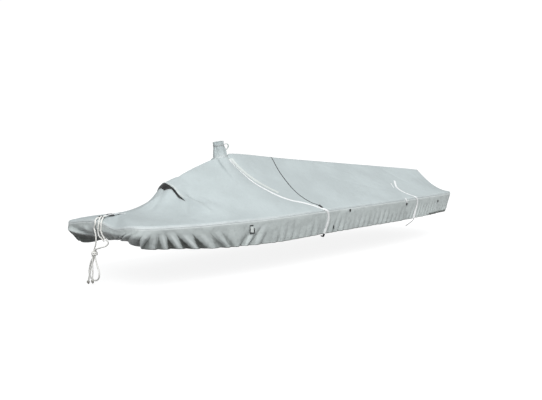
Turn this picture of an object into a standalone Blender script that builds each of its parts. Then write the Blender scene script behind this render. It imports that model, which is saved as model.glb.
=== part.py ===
"""A fitted cloth cover for a 4.9 m flat scow dinghy, laid over its boom like a tent.

Modelled along the boat: X runs aft from the bow, Y to starboard, Z up, all in metres from
the bow's rail line.  One empty carries every piece and sets the frame's origin under the
ridge, where the boom holds the cover up.
"""
import math

import bmesh
import bpy
from mathutils import Vector
from mathutils.bvhtree import BVHTree

# ---------------------------------------------------------------- driving dimensions
CLOTH = 0.0020                  # coated canvas with its seam tape
SEAM_GAP = 0.00036              # between two panels that are sewn edge to edge
RAIL_RADIUS = 0.030             # the bend of the cloth over the boat's rail
RIDGE_RADIUS = 0.035            # the bend of the cloth over the boom
SLIT_HALF = 0.0035              # half the open slit from the bow's edge to the stay
HOLD_POINT = (2.450, 0.0, 0.5300)   # under the ridge, the frame's origin
PORT, STARBOARD = -1.0, 1.0

# One row for each section round one half of the boat, from the bow's centre to the
# transom's: the rail point, how far the hem hangs below it and is tucked in, the point of
# the ridge (or of the neck or the boom's end) that the cloth runs up to, its sag, and how
# far its middle swings fore (-) or aft of a straight line in plan.
SECTION_COLUMNS = ("name", "columns", "rail_x", "half", "rail_z", "drop", "tuck",
                   "top_x", "top_y", "top_z", "sag", "swing")
SECTIONS = (
    ("bow centre", 0, 0.000, 0.000, 0.042, 0.175, 0.050, 0.226, 0.0035, 0.098, 0.000, 0.0),
    ("bow flat", 4, 0.000, 0.350, 0.034, 0.170, 0.052, 0.236, 0.018, 0.099, -0.006, 0.0),
    ("bow shoulder", 3, 0.006, 0.580, 0.027, 0.175, 0.052, 0.250, 0.018, 0.100, -0.010, 0.0),
    ("bow corner", 4, 0.050, 0.690, 0.025, 0.180, 0.050, 0.264, 0.010, 0.100, -0.012, 0.0),
    ("bow side", 3, 0.160, 0.730, 0.016, 0.182, 0.046, 0.280, 0.000, 0.100, -0.012, 0.0),
    ("foredeck", 3, 0.400, 0.748, 0.003, 0.188, 0.042, 0.420, 0.000, 0.114, -0.008, 0.0),
    ("slope foot", 3, 0.640, 0.764, -0.006, 0.206, 0.036, 0.575, 0.000, 0.186, 0.008, 0.0),
    ("vent mouth", 3, 0.873, 0.782, -0.008, 0.224, 0.030, 0.752, 0.000, 0.285, 0.010, 0.0),
    ("vent roof", 3, 1.050, 0.800, -0.009, 0.230, 0.030, 0.930, 0.000, 0.416, 0.020, 0.0),
    ("collar front", 5, 1.380, 0.840, -0.008, 0.239, 0.030, 1.382, 0.000, 0.585, 0.028, -0.03),
    ("collar quarter", 1, 1.560, 0.852, -0.005, 0.242, 0.030, 1.396, 0.048, 0.590, 0.031, -0.07),
    ("collar side", 2, 1.760, 0.859, -0.001, 0.243, 0.030, 1.460, 0.074, 0.594, 0.034, -0.12),
    ("collar back", 2, 1.960, 0.862, 0.002, 0.241, 0.030, 1.522, 0.056, 0.598, 0.036, -0.15),
    ("closure", 2, 2.150, 0.863, 0.003, 0.239, 0.030, 1.550, 0.006, 0.606, 0.036, -0.17),
    ("ridge start", 2, 2.370, 0.862, 0.004, 0.237, 0.030, 1.600, 0.000, 0.630, 0.038, -0.11),
    ("ridge quarter", 3, 2.860, 0.858, 0.006, 0.236, 0.030, 2.400, 0.000, 0.551, 0.034, 0.0),
    ("ridge half", 3, 3.400, 0.846, 0.009, 0.239, 0.030, 3.250, 0.000, 0.470, 0.029, 0.0),
    ("ridge aft", 3, 3.950, 0.795, 0.010, 0.238, 0.030, 4.100, 0.000, 0.390, 0.025, 0.0),
    ("aft deck", 3, 4.450, 0.716, 0.006, 0.234, 0.030, 4.720, 0.000, 0.331, 0.027, 0.0),
    ("quarter", 2, 4.740, 0.648, 0.001, 0.233, 0.045, 4.880, 0.000, 0.313, 0.046, 0.0),
    ("stern corner", 2, 4.868, 0.596, -0.002, 0.234, 0.096, 4.936, 0.000, 0.307, 0.066, 0.0),
    ("transom edge", 2, 4.900, 0.500, -0.002, 0.235, 0.120, 4.936, 0.000, 0.307, 0.044, 0.0),
    ("transom quarter", 2, 4.905, 0.250, 0.000, 0.236, 0.130, 4.936, 0.000, 0.307, 0.012, 0.0),
    ("transom centre", 2, 4.905, 0.000, 0.002, 0.236, 0.130, 4.936, 0.000, 0.307, 0.006, 0.0),
)
FRONT_ROWS = (0, 0.035, 0.08, 0.13, 0.19, 0.255, 0.32, 0.39, 0.53, 0.68, 0.84, 1)
AFT_ROWS = (0, 0.05, 0.15, 0.30, 0.48, 0.66, 0.84, 1)
STERN_ROWS = (0, 0.34, 0.56, 0.80, 1)
BEND_STEPS = 3                  # faces round the rail's bend
COLUMN_APART = 0.006            # columns nearer than this are one column
SKIRT_ROWS = (0, 0.2, 0.45, 0.72, 1)

# The vent: a slit across the cloth whose upper lip stands up as a hood.
HOOD_COLUMNS = ("half", "upper", "lower")
HOOD = (
    (0.00, 0.080, 0.000), (0.03, 0.081, 0.018), (0.06, 0.081, 0.034), (0.10, 0.079, 0.050),
    (0.15, 0.071, 0.036), (0.20, 0.042, 0.010), (0.25, 0.017, 0.002), (0.30, 0.000, 0.000),
)

# Soft creases of the slope, as segments in plan: side (0 is both), ends, width, height.
CREASE_COLUMNS = ("side", "x_0", "half_0", "x_1", "half_1", "width", "height")
CREASES = (
    (PORT, 0.830, 0.300, 1.020, 0.640, 0.075, 0.016),
    (PORT, 0.860, 0.200, 1.060, 0.470, 0.060, -0.014),
    (PORT, 0.700, 0.180, 0.690, 0.620, 0.060, -0.012),
    (PORT, 1.360, 0.060, 1.250, 0.300, 0.060, -0.010),
    (STARBOARD, 0.850, 0.280, 1.050, 0.600, 0.075, 0.012),
    (0, 0.540, 0.050, 0.470, 0.560, 0.080, -0.008),
)

# Folds gathered into the skirt: side, where each line leaves the seam and reaches the hem
# along the rail, how far it stands out (crest) or in (trough), and where it begins.
FOLD_COLUMNS = ("side", "seam", "hem", "height", "start")
FOLDS = (
    (PORT, 0.000, 0.000, -0.004, 0.10), (PORT, 0.088, 0.052, 0.006, 0.10),
    (PORT, 0.175, 0.102, 0.012, 0.10), (PORT, 0.262, 0.150, 0.008, 0.20),
    (PORT, 0.350, 0.188, -0.010, 0.45), (PORT, 0.503, 0.206, 0.008, 0.30),
    (PORT, 0.609, 0.222, -0.006, 0.30), (PORT, 0.639, 0.242, 0.010, 0.15),
    (PORT, 0.669, 0.270, -0.014, 0.10), (PORT, 0.699, 0.332, 0.014, 0.10),
    (PORT, 0.736, 0.400, -0.008, 0.15), (PORT, 0.750, 0.500, 0.010, 0.15),
    (STARBOARD, 0.000, 0.000, -0.004, 0.10), (STARBOARD, 0.088, 0.085, 0.000, 0.10),
    (STARBOARD, 0.175, 0.175, 0.000, 0.10), (STARBOARD, 0.262, 0.260, 0.000, 0.20),
    (STARBOARD, 0.350, 0.345, 0.000, 0.20), (STARBOARD, 0.427, 0.430, 0.000, 0.20),
    (STARBOARD, 0.503, 0.500, 0.006, 0.10), (STARBOARD, 0.609, 0.545, -0.008, 0.10),
    (STARBOARD, 0.669, 0.580, 0.010, 0.10), (STARBOARD, 0.736, 0.600, -0.010, 0.10),
    (0, 0.776, 0.620, -0.012, 0.15), (0, 0.795, 0.680, 0.012, 0.15),
    (0, 0.816, 0.755, -0.010, 0.10), (0, 0.840, 0.830, 0.008, 0.05),
    (0, 0.870, 0.890, -0.010, 0.05), (0, 0.895, 0.950, 0.012, 0.05),
    (0, 0.925, 1.020, -0.016, 0.05), (0, 0.960, 1.085, 0.018, 0.05),
    (0, 1.005, 1.175, -0.018, 0.05), (0, 1.057, 1.255, 0.015, 0.10),
    (0, 1.165, 1.330, -0.018, 0.25), (0, 1.260, 1.420, 0.012, 0.20),
    (0, 1.340, 1.540, -0.022, 0.40), (0, 1.390, 1.605, 0.012, 0.10),
    (0, 1.470, 1.645, -0.010, 0.15), (0, 1.650, 1.690, 0.014, 0.00),
    (0, 1.900, 1.750, -0.012, 0.10), (0, 1.965, 1.795, 0.010, 0.10),
    (0, 2.010, 1.840, -0.012, 0.10), (0, 2.055, 1.920, 0.010, 0.10),
    (0, 2.095, 1.985, -0.008, 0.20),
)
# Runs of even puckers: from, to and step along the hem, how far the seam end leans aft,
# and the height of the crests.
PUCKER_COLUMNS = ("from", "to", "step", "lean", "height")
PUCKERS = (
    (2.09, 2.74, 0.052, 0.03, 0.007),
    (2.80, 4.22, 0.058, 0.06, 0.006),
    (4.28, 5.32, 0.052, 0.10, 0.010),
    (5.40, 6.12, 0.080, 0.02, 0.006),
)
# The bow's front: where its edge hangs slack and sinks, where the ropes pinch the hem up,
# and long folds lying across the skirt.
SINK_COLUMNS = ("side", "distance", "depth", "width")
SINKS = ((PORT, 0.34, 0.038, 0.28), (STARBOARD, 0.70, 0.038, 0.60))
PINCH_COLUMNS = ("side", "distance", "lift", "width")
PINCHES = (
    (PORT, 0.34, 0.027, 0.42), (PORT, 0.00, 0.018, 0.10),
    (STARBOARD, 0.00, 0.018, 0.10), (STARBOARD, 0.42, -0.058, 0.40),
)
LONG_FOLD_COLUMNS = ("side", "d_0", "q_0", "d_1", "q_1", "width", "height")
LONG_FOLDS = (
    (STARBOARD, 0.02, 0.86, 0.56, 0.34, 0.030, 0.024),
    (STARBOARD, 0.05, 0.99, 0.50, 0.80, 0.050, -0.020),
    (STARBOARD, 0.10, 0.60, 0.22, 0.32, 0.024, 0.014),
    (STARBOARD, 0.16, 0.66, 0.48, 0.20, 0.024, -0.014),
)

# The collar: rings from the mast hole up, and the lashing round it.
COLLAR_FOOT = 0.588             # the hole's front edge
COLLAR_SIDES = 26
COLLAR_COLUMNS = ("height", "front", "aft", "half", "gather")
COLLAR = (
    (-0.004, 1.3862, 1.5415, 0.0722, 0.000), (0.022, 1.3868, 1.5395, 0.0705, 0.008),
    (0.055, 1.3890, 1.5290, 0.062, 0.030), (0.092, 1.3900, 1.5150, 0.058, 0.035),
    (0.128, 1.3910, 1.5030, 0.054, 0.006), (0.166, 1.3880, 1.4960, 0.054, 0.050),
)
LASHING_COLUMNS = ("height", "front", "aft", "half")
LASHING = ((0.122, 1.3907, 1.5052, 0.0549), (0.135, 1.3904, 1.5020, 0.0542))
COLLAR_LOOP = ((1.5076, -0.009, 0.7325), (1.540, -0.022, 0.742), (1.562, -0.028, 0.722),
               (1.556, -0.026, 0.692), (1.5330, -0.016, 0.668))

# Bands laid on the cloth, as routes on the port side that starboard mirrors.
FLAP_WIDTH, FLAP_SHIFT = 0.040, 0.016
FLAP_ROWS = (0.08, 0.18, 0.28, 0.39, 0.50, 0.61)
STRAPS = (
    ("fore", 0.025, (
        (1.502, -0.106, 0.566), (1.506, -0.150, 0.528), (1.544, -0.238, 0.429),
        (1.605, -0.414, 0.301), (1.669, -0.494, 0.244), (1.761, -0.596, 0.177),
        (1.857, -0.666, 0.133), (1.980, -0.722, 0.104), (2.074, -0.782, 0.066),
        (2.140, -0.843, 0.030), (2.190, -0.863, 0.005), (2.214, -0.860, -0.040),
        (2.212, -0.857, -0.082), (2.189, -0.846, -0.158), (2.164, -0.838, -0.234))),
    ("aft", 0.024, (
        (3.960, -0.370, 0.208), (3.842, -0.476, 0.167), (3.782, -0.541, 0.142),
        (3.752, -0.629, 0.106), (3.773, -0.734, 0.062), (3.805, -0.800, 0.027),
        (3.838, -0.806, -0.007), (3.843, -0.804, -0.053), (3.812, -0.802, -0.127),
        (3.780, -0.788, -0.236))),
)
HOOK_COLUMNS = ("name", "width", "steps on from the strap's end: along, outwards, aft")
HOOKS = (
    ("fore", 0.024, ((0.0004, 0.0, 0.0), (0.018, 0.0, 0.0), (0.033, -0.005, 0.0),
                     (0.038, -0.018, 0.0), (0.028, -0.030, 0.0))),
    ("aft", 0.034, ((0.0004, 0.0, 0.0), (0.014, 0.002, -0.003), (0.050, -0.006, -0.032),
                    (0.080, -0.018, -0.058), (0.096, -0.028, -0.068))),
)
BECKET = ((3.792, -0.440, 0.180), (3.752, -0.492, 0.160), (3.712, -0.548, 0.140))
PATCH = ((2.150, -0.776, 0.066), (2.152, -0.800, 0.052), (2.154, -0.824, 0.038))
RIDGE_BAND_HALF = (
    (2.172, 0.000, 0.559), (2.135, 0.100, 0.500), (2.094, 0.205, 0.433), (2.062, 0.310, 0.362),
    (2.040, 0.420, 0.290), (2.030, 0.530, 0.220), (2.040, 0.620, 0.165), (2.068, 0.695, 0.120),
    (2.108, 0.750, 0.084), (2.140, 0.772, 0.070),
)
BOW_TABS = (
    ("fore", 0.032, ((0.058, -0.034, 0.080), (0.056, 0.000, 0.080), (0.058, 0.034, 0.080))),
    ("aft", 0.036, ((0.150, -0.056, 0.092), (0.146, 0.000, 0.092), (0.148, 0.044, 0.092))),
)

# The bow's ropes, from the slit over the edge to the knot and the tails.
ROPE = 0.0145
ROPES = (
    ("loop", (
        (0.096, -0.014, 0.100), (0.060, -0.052, 0.094), (0.022, -0.098, 0.084),
        (-0.012, -0.130, 0.042), (-0.012, -0.124, 0.000), (-0.006, -0.124, -0.055),
        (0.008, -0.152, -0.100), (0.024, -0.184, -0.134), (0.016, -0.160, -0.160),
        (-0.004, -0.100, -0.180), (-0.012, -0.040, -0.196), (-0.012, 0.002, -0.210),
        (-0.012, 0.0222, -0.228), (-0.012, 0.0225, -0.248), (-0.012, 0.0216, -0.272),
        (-0.012, 0.008, -0.325), (-0.012, -0.024, -0.379), (-0.012, -0.046, -0.423),
        (-0.012, -0.030, -0.474), (-0.012, 0.025, -0.503), (-0.012, 0.095, -0.503),
        (-0.012, 0.146, -0.482), (-0.012, 0.162, -0.438), (-0.012, 0.146, -0.395),
        (-0.012, 0.112, -0.336), (-0.012, 0.078, -0.300), (-0.012, 0.060, -0.280))),
    ("fall", (
        (0.050, 0.012, 0.088), (0.012, 0.006, 0.068), (-0.010, -0.012, 0.030),
        (-0.014, 0.010, -0.008), (-0.014, -0.012, -0.049), (-0.014, -0.020, -0.100),
        (-0.014, -0.006, -0.160), (-0.012, 0.026, -0.200), (-0.012, 0.0390, -0.224),
        (-0.012, 0.0390, -0.246), (-0.012, 0.0390, -0.272), (-0.016, 0.056, -0.318),
        (-0.028, 0.084, -0.380), (-0.034, 0.102, -0.440), (-0.034, 0.126, -0.490),
        (-0.032, 0.152, -0.534))),
    ("tail", (
        (-0.030, 0.036, -0.2770), (-0.031, 0.040, -0.310), (-0.032, 0.047, -0.360),
        (-0.034, 0.044, -0.430), (-0.034, 0.052, -0.480), (-0.032, 0.063, -0.518))),
    ("short", (
        (0.050, -0.024, 0.096), (0.012, -0.058, 0.078), (-0.012, -0.080, 0.036),
        (-0.014, -0.070, -0.010), (-0.012, -0.066, -0.048), (-0.008, -0.076, -0.080),
        (0.006, -0.112, -0.106), (0.012, -0.124, -0.126))),
)
KNOT_CENTRE = (-0.012, 0.0303, -0.231)
KNOT_RADIUS, KNOT_TURNS, KNOT_PITCH = 0.0240, 2.5, 0.0154

# Small black fittings on the skirt, as (name, spot, outline along the rail and upwards).
TEARDROP = ((-0.013, 0.010), (0.000, 0.016), (0.013, 0.010), (0.010, -0.006), (0.002, -0.018),
            (-0.004, -0.018), (-0.011, -0.006))
BUTTON = tuple((0.009 * math.cos(math.pi * k / 5), 0.009 * math.sin(math.pi * k / 5))
               for k in range(10))
HEM_TAB = ((-0.014, -0.022), (-0.004, 0.020), (0.004, 0.020), (0.014, -0.022), (0.006, -0.022),
           (0.000, 0.000), (-0.006, -0.022))
RING = ((-0.026, -0.042), (0.026, -0.042), (0.026, 0.010), (0.019, 0.010), (0.019, -0.034),
        (-0.019, -0.034), (-0.019, 0.034), (0.012, 0.034), (0.012, 0.042), (-0.026, 0.042))
RING_PAD = ((-0.016, -0.030), (0.016, -0.030), (0.016, 0.014), (0.006, 0.020), (-0.016, 0.020))
FITTINGS = (
    ("clip", "both", (2.549, -0.860, -0.020), TEARDROP, 0.005),
    ("button_fore", "both", (3.600, -0.829, -0.040), BUTTON, 0.005),
    ("button_aft", "both", (4.393, -0.720, -0.068), BUTTON, 0.004),
    ("hem_tab", "port", (2.290, -0.843, -0.172), HEM_TAB, 0.002),
    ("ring", "port", (1.201, -0.811, -0.086), RING, 0.004),
    ("ring_pad", "port", (1.201, -0.811, -0.086), RING_PAD, 0.002),
)


# ---------------------------------------------------------------- reading the tables
def curve_keys(points):
    """Gives each point of a row of points its distance along them."""
    keys = [0.0]
    for before, after in zip(points, points[1:]):
        keys.append(keys[-1] + (Vector(after) - Vector(before)).length)
    return keys


def read_curve(keys, rows, key):
    """Reads a smooth curve through rows of numbers at one key."""
    last = len(keys) - 2
    index = 0
    while index < last and key > keys[index + 1]:
        index += 1

    def slope(at):
        low, high = max(at - 1, 0), min(at + 1, len(keys) - 1)
        if low == at or high == at:
            return [(b - a) / (keys[high] - keys[low]) for a, b in zip(rows[low], rows[high])]
        back, ahead = keys[at] - keys[low], keys[high] - keys[at]
        return [((m - a) / back * ahead + (b - m) / ahead * back) / (back + ahead)
                for a, m, b in zip(rows[low], rows[at], rows[high])]

    span = keys[index + 1] - keys[index]
    f = (key - keys[index]) / span
    weights = (2 * f**3 - 3 * f**2 + 1, (f**3 - 2 * f**2 + f) * span,
               3 * f**2 - 2 * f**3, (f**3 - f**2) * span)
    parts = (rows[index], slope(index), rows[index + 1], slope(index + 1))
    return [sum(w * part[i] for w, part in zip(weights, parts)) for i in range(len(rows[0]))]


SECTION_NAMES = [row[0] for row in SECTIONS]
SECTION_VALUES = [row[2:] for row in SECTIONS]
SECTION_KEYS = curve_keys([row[2:4] for row in SECTIONS])
RAIL_LENGTH = SECTION_KEYS[-1]


def distance_of(name):
    """The distance round the rail of one named section."""
    return SECTION_KEYS[SECTION_NAMES.index(name)]


def section(distance):
    """The section's values at a distance round the rail from the bow's centre."""
    return dict(zip(SECTION_COLUMNS[2:], read_curve(SECTION_KEYS, SECTION_VALUES, distance)))


def outward_at(distance):
    """The direction in plan that points away from the boat, as (x, half)."""
    step = 0.004
    before = section(max(distance - step, 0.0))
    after = section(min(distance + step, RAIL_LENGTH))
    along = Vector((after["rail_x"] - before["rail_x"], after["half"] - before["half"]))
    if distance < step:
        along = Vector((0.0, 1.0))
    if distance > RAIL_LENGTH - step:
        along = Vector((0.0, -1.0))
    along.normalize()
    return Vector((-along.y, along.x))


def smooth(value):
    """Eases from 0 to 1."""
    value = min(max(value, 0.0), 1.0)
    return value * value * (3 - 2 * value)


def segment_bump(x, y, x_0, y_0, x_1, y_1, width):
    """A soft ridge of height 1 along a segment, fading at both ends."""
    along = Vector((x_1 - x_0, y_1 - y_0))
    offset = Vector((x - x_0, y - y_0))
    share = min(max(offset.dot(along) / along.length_squared, 0.0), 1.0)
    away = (offset - along * share).length / width
    return math.exp(-away * away) * (0.35 + 0.65 * math.sin(math.pi * (0.15 + 0.7 * share)))


# ---------------------------------------------------------------- the cloth's surface
def hood_lift(half, kind):
    """How far a lip of the vent stands above the plain slope."""
    for before, after in zip(HOOD, HOOD[1:]):
        if half <= after[0]:
            share = (half - before[0]) / (after[0] - before[0])
            column = HOOD_COLUMNS.index(kind)
            return before[column] + (after[column] - before[column]) * share
    return 0.0


def hood_relief(distance, half, upper):
    """The raised cloth on either side of the vent's slit."""
    mouth, roof = distance_of("vent mouth"), distance_of("vent roof")
    foot = distance_of("slope foot")
    if distance < mouth or (distance == mouth and not upper):
        return hood_lift(half, "lower") * smooth((distance - foot) / (mouth - foot)) ** 2
    share = min((distance - mouth) / (roof - mouth), 1.0)
    fade = (1 - share) ** 0.85 if half < 0.08 else 1 - smooth(share * 0.62) / smooth(0.62)
    return hood_lift(half, "upper") * max(fade, 0.0)


def crease_relief(side, x, half):
    """The soft creases of the slope."""
    total = 0.0
    for row_side, x_0, half_0, x_1, half_1, width, height in CREASES:
        if row_side in (0, side):
            total += height * segment_bump(x, half, x_0, half_0, x_1, half_1, width)
    return total


def bow_rise(rows, side, distance):
    """How much one side's rows of sinks or pinches come to at a distance round the rail."""
    return sum(height * smooth(1 - abs(distance - centre) / width)
               for row_side, centre, height, width in rows if row_side == side)


def tent_column(side, distance, rows, upper=True):
    """The points of one column of the cloth, from its top down to the rail's seam."""
    here = section(distance)
    here["rail_z"] -= bow_rise(SINKS, side, distance)
    if distance > distance_of("stern corner"):
        end = section(distance_of("stern corner"))
        here.update({name: end[name] for name in ("top_x", "top_y", "top_z")})
    outward = outward_at(distance)
    rail = Vector((here["rail_x"], here["half"]))
    top = Vector((here["top_x"], here["top_y"]))
    reach = (rail - top).dot(outward)
    centre_x, centre_z = reach - RAIL_RADIUS, here["rail_z"]
    fall = math.atan2(here["top_z"] - centre_z, centre_x)
    far = math.hypot(here["top_z"] - centre_z, centre_x)
    length = (rail - top).length
    angle = fall - math.asin(RAIL_RADIUS / far) - math.atan(4 * here["sag"] / max(length, 0.2))
    angle = min(max(angle, 0.05), math.radians(80))
    foot = rail + outward * RAIL_RADIUS * (math.sin(angle) - 1)
    foot_z = here["rail_z"] + RAIL_RADIUS * math.cos(angle)
    ease = min(RIDGE_RADIUS / length, 0.3)
    if distance < distance_of("vent roof"):
        ease = 0.05
    points = []
    for t in rows:
        plan = top.lerp(foot, t) + Vector((4 * here["swing"] * t * (1 - t), 0.0))
        share = (math.hypot(t, ease) - ease) / (math.hypot(1, ease) - ease)
        z = here["top_z"] + (foot_z - here["top_z"]) * share
        z -= 4 * here["sag"] * t * (1 - t)
        fade = smooth((1 - t) / 0.12) * smooth(t / 0.04)
        z += crease_relief(side, plan.x, plan.y) * fade
        z += hood_relief(distance, plan.y, upper)
        points.append((plan, z))
    for step in range(1, BEND_STEPS + 1):
        turn = angle + (math.pi / 2 - angle) * step / BEND_STEPS
        plan = rail + outward * RAIL_RADIUS * (math.sin(turn) - 1)
        points.append((plan, here["rail_z"] + RAIL_RADIUS * math.cos(turn)))
    return [place(side, distance, plan, z) for plan, z in points]


def place(side, distance, plan, z):
    """Turns a point of one half into the boat's own coordinates."""
    half = max(plan.y, SLIT_HALF) if distance < distance_of("bow side") else max(plan.y, 0.0)
    return Vector((plan.x, side * half, z))


def skirt_point(side, seam, hem, height, start, q):
    """One point of the skirt, q of the way from its seam down to the hem."""
    distance = seam + (hem - seam) * q
    here = section(distance)
    outward = outward_at(distance)
    sink = bow_rise(SINKS, side, distance)
    drop = here["drop"] - sink - bow_rise(PINCHES, side, distance)
    push = height * smooth((q - start) / (1.0 - start)) - here["tuck"] * q ** 1.4
    for row_side, d_0, q_0, d_1, q_1, width, rise in LONG_FOLDS:
        if row_side == side:
            push += rise * smooth(q / 0.2) * segment_bump(
                distance, q * 0.18, d_0, q_0 * 0.18, d_1, q_1 * 0.18, width)
    plan = Vector((here["rail_x"], here["half"])) + outward * push
    return place(side, distance, plan, here["rail_z"] - sink - drop * q)


def section_columns(first, last):
    """The distances of the columns that the sections ask for, from one to another."""
    start, end = SECTION_NAMES.index(first), SECTION_NAMES.index(last)
    distances = [SECTION_KEYS[start]]
    for index in range(start + 1, end + 1):
        count = SECTIONS[index][1]
        low, high = SECTION_KEYS[index - 1], SECTION_KEYS[index]
        distances += [low + (high - low) * step / count for step in range(1, count)]
        distances.append(high)
    return distances


def skirt_lines(side):
    """Every fold line of one side's skirt, in order from the bow's slit to the transom."""
    lines = [row[1:] for row in FOLDS if row[0] in (0, side)]
    for distance in section_columns("bow centre", "slope foot"):
        if min(abs(distance - line[0]) for line in lines) > COLUMN_APART:
            after = next(index for index, line in enumerate(lines) if line[0] > distance)
            low, high = lines[after - 1], lines[after]
            share = (distance - low[0]) / (high[0] - low[0])
            lines.insert(after, tuple(a + (b - a) * share for a, b in zip(low, high)))
    for first, last, step, lean, height in PUCKERS:
        count = round((last - first) / step)
        for index in range(count + 1):
            hem = first + (last - first) * index / count
            uneven = 1 + 0.35 * math.sin(7.3 * hem + side) + 0.25 * math.sin(17.0 * hem)
            sign = 1 if index % 2 else -1
            lines.append((min(hem + lean, RAIL_LENGTH - 0.03), hem, sign * height * uneven, 0.1))
    lines.append((RAIL_LENGTH, RAIL_LENGTH, 0.0, 0.0))
    return lines


# ---------------------------------------------------------------- meshes and materials
def material(name, colour, roughness, metallic=0.0):
    """One surface of its own."""
    made = bpy.data.materials.new(name)
    made.use_nodes = True
    shader = made.node_tree.nodes["Principled BSDF"]
    shader.inputs["Base Color"].default_value = (*colour, 1.0)
    shader.inputs["Roughness"].default_value = roughness
    shader.inputs["Metallic"].default_value = metallic
    return made


def add_object(name, points, faces, surface, flat=False, turn_out=True):
    """Makes one closed, outward body."""
    mesh = bpy.data.meshes.new(name)
    mesh.from_pydata([tuple(point) for point in points], [], faces)
    if turn_out:
        work = bmesh.new()
        work.from_mesh(mesh)
        bmesh.ops.recalc_face_normals(work, faces=work.faces)
        work.to_mesh(mesh)
        work.free()
    for polygon in mesh.polygons:
        polygon.use_smooth = not flat
    mesh.materials.append(surface)
    made = bpy.data.objects.new(name, mesh)
    bpy.context.collection.objects.link(made)
    made.parent = carrier
    return made


def grid_faces(columns):
    """Triangles between neighbouring columns of points, always across the shorter way."""
    faces = []
    for left, right in zip(columns, columns[1:]):
        i, j = 0, 0
        while i < len(left) - 1 or j < len(right) - 1:
            down_left = j == len(right) - 1
            if not down_left and i < len(left) - 1:
                across = (left[i + 1] - right[j]).length
                down_left = across <= (left[i] - right[j + 1]).length
            if down_left:
                faces.append((left[i], left[i + 1], right[j]))
                i += 1
            else:
                faces.append((left[i], right[j + 1], right[j]))
                j += 1
    return faces


def half_faces(side, columns):
    """Grid faces of one half, wound so that they face outwards on either side."""
    faces = grid_faces(columns)
    if side == PORT:
        return faces
    return [tuple(reversed(face)) for face in faces]


def key_of(point):
    """A rounded position that shared corners agree on."""
    return tuple(round(value, 6) for value in point)


def is_face(face):
    """Whether a triangle's three corners lie apart."""
    return len({key_of(point) for point in face}) == 3


def shared_normals(sheets, level_keys):
    """The cloth's outward direction at each corner, shared by the panels that meet there."""
    normals = {}
    for faces in sheets.values():
        for face in faces:
            normal = Vector((0.0, 0.0, 0.0))
            for index, point in enumerate(face):
                normal += point.cross(face[(index + 1) % len(face)])
            for point in face:
                normals.setdefault(key_of(point), Vector((0.0, 0.0, 0.0)))
                normals[key_of(point)] += normal
    for key, normal in normals.items():
        if key in level_keys:
            normal.z = 0.0
        if abs(key[1]) < 1e-5:
            normal.y = 0.0
        normal.normalize()
    return normals


def thick_sheet(name, faces, normals, surface):
    """Gives a panel its thickness and draws its edges back from its neighbours."""
    index_of = {}
    points = []
    for face in faces:
        for point in face:
            if key_of(point) not in index_of:
                index_of[key_of(point)] = len(points)
                points.append(point.copy())
    rings = [[index_of[key_of(point)] for point in face] for face in faces]
    used = {}
    for ring in rings:
        for a, b in zip(ring, ring[1:] + ring[:1]):
            used[(a, b)] = ring
    edges = [(a, b) for a, b in used if (b, a) not in used]
    directions = [normals[key_of(point)] for point in points]
    inward = {}
    for a, b in edges:
        for corner in (a, b):
            left = directions[corner].cross(points[b] - points[a]).normalized()
            inward.setdefault(corner, []).append(left)
    count = len(points)
    moved = [point.copy() for point in points]
    for corner, sides in inward.items():
        total = Vector((0.0, 0.0, 0.0))
        for left in sides:
            total += left
        agree = max(1 + sides[0].dot(sides[-1]), 0.5) if len(sides) > 1 else 1.0
        moved[corner] = points[corner] + total * (SEAM_GAP / 2) / agree
    shell = moved + [moved[i] - directions[i] * CLOTH for i in range(count)]
    body = list(rings) + [[i + count for i in reversed(ring)] for ring in rings]
    for a, b in edges:
        if key_of(points[a]) < key_of(points[b]):
            body += [(b, a, b + count), (a, a + count, b + count)]
        else:
            body += [(b, a, a + count), (b, a + count, b + count)]
    return add_object(name, shell, body, surface, turn_out=False)


# ---------------------------------------------------------------- building the cloth
def tent_columns(side, first, last, rows, upper=True):
    """The columns of points from one section to another, at the bow also one on each fold
    of the skirt, so that both cloths follow the same sinking seam."""
    distances = section_columns(first, last)
    start, end = distances[0], min(distances[-1], distance_of("slope foot"))
    for line in skirt_lines(side):
        if start < line[0] < end:
            if min(abs(distance - line[0]) for distance in distances) > COLUMN_APART:
                distances.append(line[0])
    return [tent_column(side, distance, rows, upper) for distance in sorted(distances)]


def skirt_columns(side):
    """One side's skirt, with a column of points on each fold line."""
    return [[skirt_point(side, *line, q) for q in SKIRT_ROWS] for line in skirt_lines(side)]


def cloth_runs():
    """Every panel's runs of columns, as (panel, side, columns)."""
    runs = []
    for side, word in ((PORT, "port"), (STARBOARD, "starboard")):
        aft = tent_columns(side, "closure", "stern corner", AFT_ROWS)
        aft[0] = tent_column(side, distance_of("closure"), FRONT_ROWS)
        stern = tent_columns(side, "stern corner", "transom centre", STERN_ROWS)
        stern[0] = aft[-1]
        runs += [
            ("panel_front", side,
             tent_columns(side, "bow centre", "vent mouth", FRONT_ROWS, upper=False)),
            ("panel_front", side, tent_columns(side, "vent mouth", "closure", FRONT_ROWS)),
            ("panel_" + word, side, aft),
            ("panel_stern", side, stern),
            ("skirt_" + word, side, skirt_columns(side)),
        ]
    return runs


def build_cloth():
    """All panels of the cover; gives back their outer faces for the fittings to lie on."""
    sheets = {}
    level = set()
    for name, side, columns in cloth_runs():
        seam_row = 0 if name.startswith("skirt") else -1
        level.update(key_of(column[seam_row]) for column in columns)
        sheets.setdefault(name, []).extend(filter(is_face, half_faces(side, columns)))
    normals = shared_normals(sheets, level)
    for name, faces in sheets.items():
        thick_sheet(name, faces, normals, skirt_cloth if "skirt" in name else tent_cloth)
    return [face for faces in sheets.values() for face in faces]


def clear_scene():
    """Removes whatever the file starts with."""
    for thing in list(bpy.data.objects):
        bpy.data.objects.remove(thing, do_unlink=True)


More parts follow.
